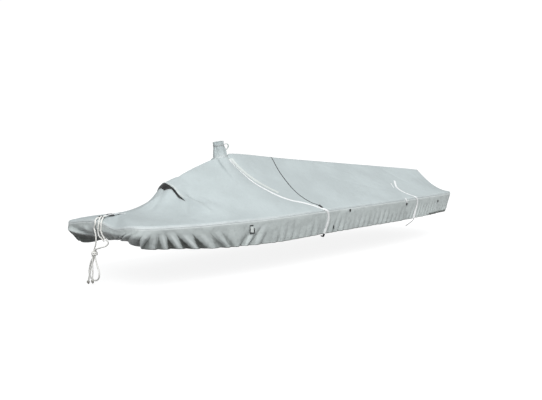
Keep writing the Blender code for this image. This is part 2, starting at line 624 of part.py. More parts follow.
# ---------------------------------------------------------------- bands, cords and fittings
def resample(route, spacing):
    """Points at an even spacing along a smooth curve through a route."""
    keys = curve_keys(route)
    rows = [tuple(point) for point in route]
    count = max(round(keys[-1] / spacing), 2)
    return [Vector(read_curve(keys, rows, keys[-1] * step / count)) for step in range(count + 1)]


def directions_along(points):
    """The direction of travel at each point of a line."""
    found = []
    for index in range(len(points)):
        ahead = points[min(index + 1, len(points) - 1)]
        found.append((ahead - points[max(index - 1, 0)]).normalized())
    return found


def band_body(name, stations, width, thickness, surface):
    """A flat band through stations, each a centre, a sideways and an upward direction."""
    points = []
    for centre, across, up in stations:
        low, high = centre - across * width / 2, centre + across * width / 2
        points += [low, high, high + up * thickness, low + up * thickness]
    faces, tops = [(0, 1, 2, 3)], []
    for start in range(0, len(points) - 4, 4):
        for index in range(4):
            after = (index + 1) % 4
            a, b = start + index, start + 4 + index
            c, d = start + 4 + after, start + after
            faces += [(a, b, c), (a, c, d)]
            if index == 2:
                tops += [(a, b, c), (a, c, d)]
    faces.append(tuple(range(len(points) - 4, len(points))))
    add_object(name, points, faces, surface)
    return [tuple(points[corner] for corner in face) for face in tops]


def nearest(point):
    """The closest place on what is laid already, and the way up from it."""
    return layers[-1].find_nearest(point)[:2]


def add_layer(faces):
    """Puts more faces on top of what is laid already, for later bands to lie on."""
    laid_faces.extend(faces)
    corners = [point for face in laid_faces for point in face]
    layers.append(BVHTree.FromPolygons(
        corners, [(3 * k, 3 * k + 1, 3 * k + 2) for k in range(len(laid_faces))]))


def laid_stations(route, width, lift):
    """Stations of a band that lies over everything along a route, clear of every facet."""
    fine = resample(route, 0.009)
    spots = [nearest(point) for point in fine]
    ups = []
    for index in range(len(spots)):
        near = spots[max(index - 1, 0):index + 2]
        ups.append(sum((normal for _, normal in near), Vector()).normalized())
    kept = [0]
    for index in range(1, len(fine)):
        far = (fine[index] - fine[kept[-1]]).length > 0.050
        turned = ups[index].angle(ups[kept[-1]]) > math.radians(14)
        if far or turned or index == len(fine) - 1:
            kept.append(index)
    centres = [spots[index][0] for index in kept]
    ups = [ups[index] for index in kept]
    stations = []
    for centre, along, up in zip(centres, directions_along(centres), ups):
        across = along.cross(up).normalized()
        stations.append([centre + up * lift, across, across.cross(along).normalized()])
    for _ in range(6):
        for before, after in zip(stations, stations[1:]):
            a, d = [before[0] + before[1] * width * half for half in (-0.5, 0.5)]
            b, c = [after[0] + after[1] * width * half for half in (-0.5, 0.5)]
            short = 0.0
            for across_share in range(9):
                for share in range(13):
                    u, v = across_share / 8, share / 12
                    point = a + (b - a) * v + (c - b) * u if u <= v else a + (d - a) * u + (c - d) * v
                    up = before[2].lerp(after[2], v).normalized()
                    spot = layers[-1].ray_cast(point + up * 0.02, -up)[0]
                    if spot:
                        short = max(short, lift - (point - spot).dot(up))
            for stop in (before, after):
                stop[0] = stop[0] + stop[2] * short
    return stations


def laid_band(name, route, width, thickness, surface, lift=0.0005):
    """A band laid over the cloth along a route; gives back its top faces."""
    return band_body(name, laid_stations(route, width, lift), width, thickness, surface)


def free_band(name, route, across, width, thickness, surface):
    """A band that stands free along a route, its width in one direction."""
    points = resample(route, 0.012)
    stations = [(point, across, across.cross(along).normalized())
                for point, along in zip(points, directions_along(points))]
    return band_body(name, stations, width, thickness, surface)


def cord(name, route, diameter, surface, spacing=2.2):
    """A round cord along a smooth curve, pushed clear of the cloth it touches."""
    points = resample(route, diameter * spacing)
    clear = diameter / 2 + 0.00006
    for _ in range(5):
        for index in range(len(points) - 1):
            for share in (0.0, 0.25, 0.5, 0.75, 1.0):
                point = points[index].lerp(points[index + 1], share)
                spot, normal = nearest(point)
                gap = (point - spot).dot(normal)
                if (point - spot).length < diameter and gap < clear:
                    for end in (index, index + 1):
                        points[end] = points[end] + normal * (clear - gap)
    curve = bpy.data.curves.new(name, "CURVE")
    curve.dimensions = "3D"
    curve.bevel_depth = diameter / 2
    curve.bevel_resolution = 2
    curve.use_fill_caps = True
    line = curve.splines.new("POLY")
    line.points.add(len(points) - 1)
    for target, point in zip(line.points, points):
        target.co = (*point, 1.0)
    curve.materials.append(surface)
    made = bpy.data.objects.new(name, curve)
    bpy.context.collection.objects.link(made)
    made.parent = carrier
    return made


def mirrored(route, side):
    """A route of the port side, or its mirror on the starboard side."""
    return [Vector((x, y if side == PORT else -y, z)) for x, y, z in route]


def upright_plate(name, outline, spot, side, thickness, surface, lift=0.0005):
    """A small plate on the skirt, its outline given along the rail and upwards."""
    base, normal = nearest(Vector(spot))
    outward = Vector((normal.x, normal.y, 0.0)).normalized()
    along = Vector((-outward.y, outward.x, 0.0)) * -side
    points = []
    reach = 0.0
    for a, b in outline:
        corner = base + along * a + Vector((0.0, 0.0, b))
        near = nearest(corner)[0]
        reach = max(reach, (near - base).dot(outward))
    for height in (reach + lift, reach + lift + thickness):
        points += [base + along * a + Vector((0.0, 0.0, b)) + outward * height
                   for a, b in outline]
    count = len(outline)
    faces = [tuple(range(count)), tuple(reversed(range(count, 2 * count)))]
    faces += [(i, (i + 1) % count, (i + 1) % count + count, i + count) for i in range(count)]
    return add_object(name, points, faces, surface, flat=True)


def collar_ring(height, front, aft, half, gather):
    """One ring of the collar, gathered in soft lobes."""
    ring = []
    for index in range(COLLAR_SIDES):
        turn = 2 * math.pi * index / COLLAR_SIDES
        lobe = 1 + gather * math.cos(turn * 8 + 0.6) + gather * 0.6 * math.cos(turn * 5)
        x = (front + aft) / 2 - (aft - front) / 2 * math.cos(turn) * lobe
        slope = (x - front) / (aft - front) * 0.016
        ring.append(Vector((x, half * math.sin(turn) * lobe, COLLAR_FOOT + height + slope)))
    return ring


def ring_body(name, outer_rings, inset, surface):
    """A closed band round an axis, from outer rings and a wall thickness."""
    rings = list(outer_rings)
    for ring in reversed(outer_rings):
        middle = sum(ring, Vector()) / len(ring)
        inner = []
        for point in ring:
            inwards = Vector((middle.x - point.x, middle.y - point.y, 0.0)).normalized()
            inner.append(point + inwards * inset)
        rings.append(inner)
    count = len(rings[0])
    points = [point for ring in rings for point in ring]
    faces = []
    for level in range(len(rings)):
        low, high = level * count, (level + 1) % len(rings) * count
        faces += [(low + i, low + (i + 1) % count, high + (i + 1) % count, high + i)
                  for i in range(count)]
    return add_object(name, points, faces, surface)


def build_collar():
    """The gathered neck round the mast hole, its lashing and its loop."""
    ring_body("mast_collar", [collar_ring(*row) for row in COLLAR], CLOTH, tent_cloth)
    lashing = [collar_ring(height, front - 0.0031, aft + 0.0031, half + 0.0031, 0.0)
               for height, front, aft, half in LASHING]
    ring_body("collar_lashing", lashing, 0.002, dark_webbing)
    free_band("collar_loop", COLLAR_LOOP, Vector((0.35, 0.94, 0.0)), 0.012, 0.002, webbing)


def build_hood_binding():
    """The light binding along the edge of the vent's upper lip."""
    mouth = distance_of("vent mouth")
    shares = [0.01 + 0.325 * step / 8 for step in range(9)]
    port = tent_column(PORT, mouth + 0.012, shares)[:9]
    starboard = tent_column(STARBOARD, mouth + 0.012, shares)[:9]
    laid_band("hood_binding", list(reversed(port)) + starboard, 0.014, 0.0014, flap_cloth,
              lift=0.0005)


def build_bands():
    """The closure flaps, straps, hooks, beckets and patches, and the band over the ridge."""
    for side, word in ((PORT, "port"), (STARBOARD, "starboard")):
        flap = [point + Vector((FLAP_SHIFT, 0.0, 0.0)) for point in tent_column(
            side, distance_of("closure"), FLAP_ROWS)[:len(FLAP_ROWS)]]
        add_layer(laid_band("closure_flap_" + word, flap, FLAP_WIDTH, 0.0016, flap_cloth))
        add_layer(laid_band("shroud_patch_" + word, mirrored(PATCH, side), 0.034, 0.0016,
                            dark_webbing))
        laid_band("becket_" + word, mirrored(BECKET, side), 0.010, 0.0020, webbing)
    over = mirrored(RIDGE_BAND_HALF, STARBOARD)[::-1] + mirrored(RIDGE_BAND_HALF, PORT)[1:]
    add_layer(laid_band("ridge_band", over, 0.009, 0.0018, dark_webbing))
    for side, word in ((PORT, "port"), (STARBOARD, "starboard")):
        for (name, width, route), (_, hook_width, steps) in zip(STRAPS, HOOKS):
            stations = laid_stations(mirrored(route, side), width, 0.0009)
            band_body("strap_%s_%s" % (name, word), stations, width, 0.0018, webbing)
            end, across, up = stations[-1]
            along = up.cross(across)
            hook = [end + along * a + up * out + Vector((aft, 0.0, 0.0))
                    for a, out, aft in steps]
            free_band("hook_%s_%s" % (name, word), hook, across, hook_width, 0.003,
                      black_plastic)
    for name, width, route in BOW_TABS:
        add_layer(laid_band("bow_tab_" + name, route, width, 0.0020, dark_webbing))


def build_ropes():
    """The bow's ropes and the knot wound round them."""
    for name, route in ROPES:
        cord("bow_rope_" + name, [Vector(point) for point in route], ROPE, rope)
    turns = []
    for step in range(int(KNOT_TURNS * 12) + 1):
        turn = 2 * math.pi * step / 12
        turns.append(Vector((KNOT_CENTRE[0] + KNOT_RADIUS * math.cos(turn),
                             KNOT_CENTRE[1] + KNOT_RADIUS * math.sin(turn),
                             KNOT_CENTRE[2] - KNOT_PITCH * step / 12)))
    cord("bow_knot", turns, ROPE * 0.96, rope, spacing=0.9)


def build_fittings():
    """The small fittings on the skirt."""
    for name, sides, spot, outline, thickness in FITTINGS:
        for side, word in ((PORT, "port"), (STARBOARD, "starboard")):
            if sides in ("both", word):
                surface = webbing if name == "ring_pad" else black_plastic
                upright_plate("%s_%s" % (name, word), outline, (spot[0], -side * spot[1],
                              spot[2]), side, thickness, surface)


clear_scene()
carrier = bpy.data.objects.new("boat_cover", None)
bpy.context.collection.objects.link(carrier)
carrier.location = [-value for value in HOLD_POINT]

tent_cloth = material("tent_cloth", (0.53, 0.57, 0.55), 0.85)
skirt_cloth = material("skirt_cloth", (0.38, 0.42, 0.40), 0.88)
flap_cloth = material("flap_cloth", (0.62, 0.66, 0.64), 0.80)
webbing = material("webbing", (0.86, 0.87, 0.85), 0.75)
dark_webbing = material("dark_webbing", (0.05, 0.05, 0.055), 0.80)
rope = material("rope", (0.80, 0.78, 0.70), 0.85)
black_plastic = material("black_plastic", (0.03, 0.03, 0.03), 0.45)

laid_faces, layers = [], []
add_layer(build_cloth())
build_collar()
build_hood_binding()
build_bands()
build_ropes()
build_fittings()
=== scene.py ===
"""A fitted cloth cover for a 4.9 m flat scow dinghy, laid over its boom like a tent.

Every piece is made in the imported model's frame: X aft, Y to starboard, Z up, in metres.
The tables are in the boat's own coordinates, with Z from the bow's rail line, and
HOLD_POINT takes them to the frame.
"""

import math

import bmesh
import bpy
import numpy as np
from bpy.props import FloatProperty, IntProperty, PointerProperty
from mathutils import Matrix, Vector, noise
from mathutils.bvhtree import BVHTree


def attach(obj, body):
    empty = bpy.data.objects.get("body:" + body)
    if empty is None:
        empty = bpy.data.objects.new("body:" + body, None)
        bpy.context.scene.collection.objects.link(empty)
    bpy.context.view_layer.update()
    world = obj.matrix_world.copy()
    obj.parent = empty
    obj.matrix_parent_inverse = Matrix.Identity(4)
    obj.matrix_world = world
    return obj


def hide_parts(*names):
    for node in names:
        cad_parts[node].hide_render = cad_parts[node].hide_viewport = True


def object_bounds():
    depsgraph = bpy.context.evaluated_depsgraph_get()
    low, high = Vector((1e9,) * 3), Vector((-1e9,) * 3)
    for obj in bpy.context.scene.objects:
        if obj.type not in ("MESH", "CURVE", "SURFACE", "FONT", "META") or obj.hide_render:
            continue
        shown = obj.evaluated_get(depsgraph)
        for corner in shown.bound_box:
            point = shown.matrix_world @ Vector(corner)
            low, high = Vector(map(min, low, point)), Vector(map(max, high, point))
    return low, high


bl_info = {
    "name": "Boat Cover",
    "version": (1, 0, 0),
    "blender": (4, 5, 0),
    "location": "View3D > Sidebar > Cover",
    "description": "A fitted dinghy cover in coated canvas, with its straps, ropes and fittings",
    "category": "Add Mesh",
}

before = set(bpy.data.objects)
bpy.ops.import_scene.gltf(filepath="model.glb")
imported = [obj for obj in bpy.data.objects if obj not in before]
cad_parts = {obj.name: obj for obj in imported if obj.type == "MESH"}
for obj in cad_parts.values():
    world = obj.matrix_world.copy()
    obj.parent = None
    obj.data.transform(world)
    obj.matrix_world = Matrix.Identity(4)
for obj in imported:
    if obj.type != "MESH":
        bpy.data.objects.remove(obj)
CAD_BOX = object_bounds()

HOLD_POINT = np.array((2.450, 0.0, 0.5300))
RAIL_RADIUS = 0.030
RIDGE_RADIUS = 0.035
LEAST_SLOPE, GREATEST_SLOPE = 0.05, math.radians(80)    # of the cloth at the rail
SLIT_HALF = 0.0035
PORT, STARBOARD = -1.0, 1.0
SIDES = ((PORT, "port"), (STARBOARD, "starboard"))

# Ripples in the cloth, as rows of height, size and seed.
TENT_RIPPLES = ((0.0026, 0.42, 3.0), (0.0013, 0.15, 9.0), (0.0006, 0.055, 17.0))
SKIRT_RIPPLES = ((0.0035, 0.10, 5.0), (0.0016, 0.035, 11.0))
HEM_RIPPLES = ((0.003, 0.06, 21.0),)

# ---------------- the cover's tables
SECTION_COLUMNS = ("rail_x", "half", "rail_z", "drop", "tuck",
                   "top_x", "top_y", "top_z", "sag", "swing")
SECTIONS = (
    ("bow centre", 0.0, 0.0, 0.042, 0.175, 0.05, 0.226, 0.0035, 0.098, 0.0, 0.0),
    ("bow flat", 0.0, 0.35, 0.034, 0.17, 0.052, 0.236, 0.018, 0.099, -0.006, 0.0),
    ("bow shoulder", 0.006, 0.58, 0.027, 0.175, 0.052, 0.25, 0.018, 0.1, -0.01, 0.0),
    ("bow corner", 0.05, 0.69, 0.025, 0.18, 0.05, 0.264, 0.01, 0.1, -0.012, 0.0),
    ("bow side", 0.16, 0.73, 0.016, 0.182, 0.046, 0.28, 0.0, 0.1, -0.012, 0.0),
    ("foredeck", 0.4, 0.748, 0.003, 0.188, 0.042, 0.42, 0.0, 0.114, -0.008, 0.0),
    ("slope foot", 0.64, 0.764, -0.006, 0.206, 0.036, 0.575, 0.0, 0.186, 0.008, 0.0),
    ("vent mouth", 0.873, 0.782, -0.008, 0.224, 0.03, 0.752, 0.0, 0.285, 0.01, 0.0),
    ("vent roof", 1.05, 0.8, -0.009, 0.23, 0.03, 0.93, 0.0, 0.416, 0.02, 0.0),
    ("collar front", 1.38, 0.84, -0.008, 0.239, 0.03, 1.382, 0.0, 0.585, 0.028, -0.03),
    ("collar quarter", 1.56, 0.852, -0.005, 0.242, 0.03, 1.396, 0.048, 0.59, 0.031, -0.07),
    ("collar side", 1.76, 0.859, -0.001, 0.243, 0.03, 1.46, 0.074, 0.594, 0.034, -0.12),
    ("collar back", 1.96, 0.862, 0.002, 0.241, 0.03, 1.522, 0.056, 0.598, 0.036, -0.15),
    ("closure", 2.15, 0.863, 0.003, 0.239, 0.03, 1.55, 0.006, 0.606, 0.036, -0.17),
    ("ridge start", 2.37, 0.862, 0.004, 0.237, 0.03, 1.6, 0.0, 0.63, 0.038, -0.11),
    ("ridge quarter", 2.86, 0.858, 0.006, 0.236, 0.03, 2.4, 0.0, 0.551, 0.034, 0.0),
    ("ridge half", 3.4, 0.846, 0.009, 0.239, 0.03, 3.25, 0.0, 0.47, 0.029, 0.0),
    ("ridge aft", 3.95, 0.795, 0.01, 0.238, 0.03, 4.1, 0.0, 0.39, 0.025, 0.0),
    ("aft deck", 4.45, 0.716, 0.006, 0.234, 0.03, 4.72, 0.0, 0.331, 0.027, 0.0),
    ("quarter", 4.74, 0.648, 0.001, 0.233, 0.045, 4.88, 0.0, 0.313, 0.046, 0.0),
    ("stern corner", 4.868, 0.596, -0.002, 0.234, 0.096, 4.936, 0.0, 0.307, 0.066, 0.0),
    ("transom edge", 4.9, 0.5, -0.002, 0.235, 0.12, 4.936, 0.0, 0.307, 0.044, 0.0),
    ("transom quarter", 4.905, 0.25, 0.0, 0.236, 0.13, 4.936, 0.0, 0.307, 0.012, 0.0),
    ("transom centre", 4.905, 0.0, 0.002, 0.236, 0.13, 4.936, 0.0, 0.307, 0.006, 0.0),
)

# The vent: how far its two lips stand above the slope at a distance from the centreline.
HOOD = (
    (0.0, 0.08, 0.0), (0.03, 0.081, 0.018), (0.06, 0.081, 0.034), (0.1, 0.079, 0.05),
    (0.15, 0.071, 0.036), (0.2, 0.042, 0.01), (0.25, 0.017, 0.002), (0.3, 0.0, 0.0),
)

# Creases of the slopes, as segments in plan: side (0 is both), ends, width, height.
CREASES = (
    (PORT, 0.83, 0.3, 1.02, 0.64, 0.075, 0.016),
    (PORT, 0.86, 0.2, 1.06, 0.47, 0.06, -0.014),
    (PORT, 0.7, 0.18, 0.69, 0.62, 0.06, -0.012),
    (PORT, 1.36, 0.06, 1.25, 0.3, 0.06, -0.01),
    (STARBOARD, 0.85, 0.28, 1.05, 0.6, 0.075, 0.012),
    (0, 0.54, 0.05, 0.47, 0.56, 0.08, -0.008),
)
FINE_CREASES = (
    (PORT, 0.822, 0.25, 0.882, 0.56, 0.028, 0.027),
    (PORT, 0.878, 0.235, 0.945, 0.43, 0.022, -0.016),
    (PORT, 0.8, 0.3, 0.702, 0.46, 0.024, -0.01),
    (PORT, 0.655, 0.425, 0.48, 0.64, 0.022, -0.009),
    (PORT, 0.682, 0.04, 0.515, 0.13, 0.03, -0.012),
    (PORT, 1.4, 0.05, 1.29, 0.26, 0.022, -0.004),
    (0, 1.449, 0.084, 1.314, 0.133, 0.018, -0.007),
    (PORT, 1.463, 0.111, 1.406, 0.157, 0.016, -0.005),
    (PORT, 1.47, 0.09, 1.44, 0.19, 0.016, 0.004),
    (STARBOARD, 1.4, 0.05, 1.29, 0.26, 0.018, -0.008),
    (0, 2.9, 0.06, 3.64, 0.48, 0.022, 0.004),
    (0, 2.78, 0.3, 3.56, 0.62, 0.026, -0.004),
    (0, 4.06, 0.03, 4.18, 0.38, 0.03, -0.005),
    (0, 4.7, 0.04, 4.48, 0.56, 0.03, 0.004),
)

# Folds gathered into the skirt, on one side or (0) on both: where each line leaves the seam
# and reaches the hem along the rail, how far it stands out (crest) or in (trough), and
# where it begins.
FOLDS = {
    PORT: (
        (0.0, 0.0, -0.004, 0.1), (0.088, 0.052, 0.006, 0.1), (0.175, 0.102, 0.012, 0.1),
        (0.262, 0.15, 0.008, 0.2), (0.35, 0.188, -0.01, 0.45), (0.503, 0.206, 0.008, 0.3),
        (0.609, 0.222, -0.006, 0.3), (0.639, 0.242, 0.01, 0.15), (0.669, 0.27, -0.014, 0.1),
        (0.699, 0.332, 0.014, 0.1), (0.736, 0.4, -0.008, 0.15), (0.75, 0.5, 0.01, 0.15),
    ),
    STARBOARD: (
        (0.0, 0.0, -0.004, 0.1), (0.088, 0.085, 0.0, 0.1), (0.175, 0.175, 0.0, 0.1),
        (0.262, 0.26, 0.0, 0.2), (0.35, 0.345, 0.0, 0.2), (0.427, 0.43, 0.0, 0.2),
        (0.503, 0.5, 0.006, 0.1), (0.609, 0.545, -0.008, 0.1), (0.669, 0.58, 0.01, 0.1),
        (0.736, 0.6, -0.01, 0.1),
    ),
    0: (
        (0.776, 0.62, -0.012, 0.15), (0.795, 0.68, 0.012, 0.15), (0.816, 0.755, -0.01, 0.1),
        (0.84, 0.83, 0.008, 0.05), (0.87, 0.89, -0.01, 0.05), (0.895, 0.95, 0.012, 0.05),
        (0.925, 1.02, -0.016, 0.05), (0.96, 1.085, 0.018, 0.05), (1.005, 1.175, -0.018, 0.05),
        (1.057, 1.255, 0.015, 0.1), (1.165, 1.33, -0.018, 0.25), (1.26, 1.42, 0.012, 0.2),
        (1.34, 1.54, -0.022, 0.4), (1.39, 1.605, 0.012, 0.1), (1.47, 1.645, -0.01, 0.15),
        (1.65, 1.69, 0.014, 0.0), (1.9, 1.75, -0.012, 0.1), (1.965, 1.795, 0.01, 0.1),
        (2.01, 1.84, -0.012, 0.1), (2.055, 1.92, 0.01, 0.1), (2.095, 1.985, -0.008, 0.2),
    ),
}
# Runs of even puckers: from, to and step along the hem, how far the seam end leans aft,
# and the height of the crests.
PUCKERS = (
    (2.09, 2.74, 0.046, 0.04, 0.004),
    (2.8, 4.22, 0.042, 0.06, 0.0034),
    (4.28, 5.32, 0.036, 0.1, 0.005),
    (5.4, 6.12, 0.06, 0.02, 0.004),
)
# The bow's front: where its edge hangs slack and sinks and where the ropes pinch the hem up,
# each as side, distance round the rail, height and width.
SINKS = ((PORT, 0.34, 0.038, 0.28), (STARBOARD, 0.7, 0.038, 0.6))
PINCHES = (
    (PORT, 0.34, 0.027, 0.42), (PORT, 0.0, 0.018, 0.1),
    (STARBOARD, 0.0, 0.018, 0.1), (STARBOARD, 0.42, -0.058, 0.4),
)
BOW_ROUND, BOW_FADE = 0.95, 0.35    # where the bow's skirt stops bulging and tucking under
BOW_BULGE, BOW_UNDERCUT = 0.018, 0.04
FOLD_SHARP = 1.15               # how pointed the folds are between trough and crest
# Long folds lying across the skirt: side, two ends as distance round the rail and share of
# the drop, width, height.
LONG_FOLDS = (
    (STARBOARD, 0.02, 0.86, 0.56, 0.34, 0.016, 0.034),
    (STARBOARD, 0.05, 0.99, 0.5, 0.62, 0.04, -0.05),
    (STARBOARD, 0.1, 0.6, 0.22, 0.32, 0.024, 0.014),
    (STARBOARD, 0.16, 0.66, 0.48, 0.2, 0.024, -0.014),
)
LONG_FOLD_DROP = 0.18           # the drop that a long fold's shares are taken of
# The skirt's painted shade: how deep a fold is whose trough is painted dark, and where along
# the rail the painted shade of the fore skirt ends.
DEEP_FOLD, FORE_END = 0.021, 1.62
# Where the columns beside the collar are evened out, from the collar's front aft.
RELAX_CENTRE, RELAX_REACH, RELAX_PASSES = 0.1, 0.24, 16

# The collar: the mast hole's height, and rings up from it as height, front, aft, half width
# and gather; then the lashing's rings.
COLLAR_FOOT = 0.588
COLLAR = (
    (-0.004, 1.3862, 1.5415, 0.0722, 0.0), (0.022, 1.3868, 1.5395, 0.0705, 0.008),
    (0.055, 1.389, 1.529, 0.062, 0.03), (0.092, 1.39, 1.515, 0.058, 0.035),
    (0.128, 1.391, 1.503, 0.054, 0.006), (0.166, 1.388, 1.496, 0.054, 0.05),
)
COLLAR_GATHER, COLLAR_SLOPE = 1.6, 0.016
COLLAR_LEVELS, COLLAR_SIDES = 26, 96
LASHING = ((0.122, 1.3907, 1.5052, 0.0549), (0.1285, 1.3907, 1.5052, 0.0549),
           (0.135, 1.3904, 1.502, 0.0542))
LASHING_CLEAR, LASHING_THICK = 0.0031, 0.0016
COLLAR_LOOP = ((1.5076, -0.009, 0.7325), (1.54, -0.022, 0.742), (1.562, -0.028, 0.722),
               (1.556, -0.026, 0.692), (1.533, -0.016, 0.668))

# Bands on the cloth, as routes on the port side that starboard mirrors, and how high, how
# finely and from how far off they are laid.
BAND_LIFT, BAND_STEP, BAND_PROBE = 0.0006, 0.008, 0.04
FREE_STEP = 0.004
STRAP_EXTRA = 0.003             # how much wider a strap shows than its solid
FLAP_ROWS = (0.06, 0.17, 0.28, 0.39, 0.51, 0.64)
FLAP_WIDTH, FLAP_SHIFT = 0.04, 0.016
STRAPS = (
    ("fore", 0.025, (
        (1.502, -0.106, 0.566), (1.506, -0.15, 0.528), (1.544, -0.238, 0.429),
        (1.605, -0.414, 0.301), (1.669, -0.494, 0.244), (1.761, -0.596, 0.177),
        (1.857, -0.666, 0.133), (1.98, -0.722, 0.104), (2.074, -0.782, 0.066),
        (2.14, -0.843, 0.03), (2.19, -0.863, 0.005), (2.214, -0.86, -0.04),
        (2.212, -0.857, -0.082), (2.189, -0.846, -0.158), (2.164, -0.838, -0.234))),
    ("aft", 0.024, (
        (3.96, -0.37, 0.208), (3.842, -0.476, 0.167), (3.782, -0.541, 0.142),
        (3.752, -0.629, 0.106), (3.773, -0.734, 0.062), (3.805, -0.8, 0.027),
        (3.838, -0.806, -0.007), (3.843, -0.804, -0.053), (3.812, -0.802, -0.127),
        (3.78, -0.788, -0.236))),
)
BUTTON_LOOP = ((3.578, -0.812, 0.022), (3.588, -0.824, 0.002), (3.594, -0.828, -0.02))
BECKET = ((3.792, -0.44, 0.18), (3.752, -0.492, 0.16), (3.712, -0.548, 0.14))
PATCH = ((2.15, -0.776, 0.066), (2.152, -0.8, 0.052), (2.154, -0.824, 0.038))
RIDGE_BAND_HALF = (
    (2.172, 0.0, 0.559), (2.135, 0.1, 0.5), (2.094, 0.205, 0.433), (2.062, 0.31, 0.362),
    (2.04, 0.42, 0.29), (2.03, 0.53, 0.22), (2.04, 0.62, 0.165), (2.068, 0.695, 0.12),
    (2.108, 0.75, 0.084), (2.14, 0.772, 0.07),
)
BOW_TABS = (
    ("fore", 0.032, ((0.058, -0.034, 0.08), (0.056, 0.0, 0.08), (0.058, 0.034, 0.08))),
    ("aft", 0.036, ((0.15, -0.056, 0.092), (0.146, 0.0, 0.092), (0.148, 0.044, 0.092))),
)
TAB_RISE = 0.014                # how far the bow's tabs stand up in an arch
BOW_TIE = ((0.08, -0.02, 0.092), (0.11, -0.032, 0.104), (0.17, -0.036, 0.11),
           (0.24, -0.034, 0.108), (0.29, -0.03, 0.104))

# The bow's ropes, from the slit over the edge to the knot and the tails.
ROPE, ROPE_STEP, ROPE_CLEAR = 0.0145, 0.006, 0.0004
ROPE_STRANDS, ROPE_LAY, ROPE_SIDES = 3, 3.4, 18
ROPE_ENDS = (0.55, 0.86, 1.0)   # how a rope's first stations grow to its full radius
ROPES = (
    ("loop", (
        (0.096, -0.014, 0.1), (0.06, -0.052, 0.094), (0.022, -0.098, 0.084),
        (-0.012, -0.13, 0.042), (-0.012, -0.124, 0.0), (-0.006, -0.124, -0.055),
        (0.008, -0.152, -0.1), (0.024, -0.184, -0.134), (0.016, -0.16, -0.16),
        (-0.004, -0.1, -0.18), (-0.012, -0.04, -0.196), (-0.012, 0.002, -0.21),
        (-0.012, 0.0222, -0.228), (-0.012, 0.0225, -0.248), (-0.012, 0.0216, -0.272),
        (-0.012, 0.008, -0.325), (-0.012, -0.024, -0.379), (-0.012, -0.046, -0.423),
        (-0.012, -0.03, -0.474), (-0.012, 0.025, -0.503), (-0.012, 0.095, -0.503),
        (-0.012, 0.146, -0.482), (-0.012, 0.162, -0.438), (-0.012, 0.146, -0.395),
        (-0.012, 0.112, -0.336), (-0.012, 0.078, -0.3), (-0.012, 0.06, -0.28))),
    ("fall", (
        (0.05, 0.012, 0.088), (0.012, 0.006, 0.068), (-0.01, -0.012, 0.03),
        (-0.014, 0.01, -0.008), (-0.014, -0.012, -0.049), (-0.014, -0.02, -0.1),
        (-0.014, -0.006, -0.16), (-0.012, 0.026, -0.2), (-0.012, 0.039, -0.224),
        (-0.012, 0.039, -0.246), (-0.012, 0.039, -0.272), (-0.016, 0.056, -0.318),
        (-0.028, 0.084, -0.38), (-0.034, 0.102, -0.44), (-0.034, 0.126, -0.49),
        (-0.032, 0.152, -0.534))),
    ("tail", (
        (-0.03, 0.036, -0.277), (-0.031, 0.04, -0.31), (-0.032, 0.047, -0.36),
        (-0.034, 0.044, -0.43), (-0.034, 0.052, -0.48), (-0.032, 0.063, -0.518))),
    ("short", (
        (0.05, -0.024, 0.096), (0.012, -0.058, 0.078), (-0.012, -0.08, 0.036),
        (-0.014, -0.07, -0.01), (-0.012, -0.066, -0.048), (-0.008, -0.076, -0.08),
        (0.006, -0.112, -0.106), (0.012, -0.124, -0.126))),
)
KNOTTED = ("fall", "tail")       # the ropes whose free ends are knotted
KNOT_CENTRE = (-0.012, 0.0303, -0.231)
KNOT_RADIUS, KNOT_TURNS, KNOT_PITCH = 0.024, 2.5, 0.0154
KNOT_ROPE = ROPE * 0.96

# Small fittings on the skirt: name, sides, spot, outline along the rail and up, thickness.
TEARDROP = ((-0.013, 0.01), (-0.006, 0.015), (0.0, 0.016), (0.006, 0.015), (0.013, 0.01),
            (0.01, -0.006), (0.002, -0.018), (-0.004, -0.018), (-0.011, -0.006))
BUTTON_RADIUS = 0.014
BUTTON = tuple((BUTTON_RADIUS * math.cos(math.pi * k / 12),
                BUTTON_RADIUS * math.sin(math.pi * k / 12)) for k in range(24))
HEM_TAB = ((-0.014, -0.022), (-0.004, 0.02), (0.004, 0.02), (0.014, -0.022), (0.006, -0.022),
           (0.0, 0.0), (-0.006, -0.022))
RING = ((-0.026, -0.042), (0.026, -0.042), (0.026, 0.01), (0.019, 0.01), (0.019, -0.034),
        (-0.019, -0.034), (-0.019, 0.034), (0.012, 0.034), (0.012, 0.042), (-0.026, 0.042))
RING_PAD = ((-0.016, -0.03), (0.016, -0.03), (0.016, 0.014), (0.006, 0.02), (-0.016, 0.02))
FITTINGS = (
    ("clip", "both", (2.549, -0.86, -0.02), TEARDROP, 0.005),
    ("button_fore", "both", (3.6, -0.829, -0.04), BUTTON, 0.005),
    ("button_aft", "both", (4.393, -0.72, -0.068), BUTTON, 0.004),
    ("hem_tab", "port", (2.29, -0.843, -0.172), HEM_TAB, 0.002),
    ("ring", "port", (1.201, -0.811, -0.086), RING, 0.004),
    ("ring_pad", "port", (1.201, -0.811, -0.086), RING_PAD, 0.002),
)

# The stage, in the boat's own coordinates.
CAMERA_AT = (-2.738, -5.562, 0.707)
KEY_TOWARD = (-0.34, -0.68, 0.65)
FLOOR_HALF, FLOOR_GAP = 60.0, 0.02


# ---------------- reading the tables
def curve_keys(points):
    """The distance of each point along a row of points."""
    steps = np.linalg.norm(np.diff(np.asarray(points, float), axis=0), axis=1)
    return np.concatenate([[0.0], np.cumsum(steps)])


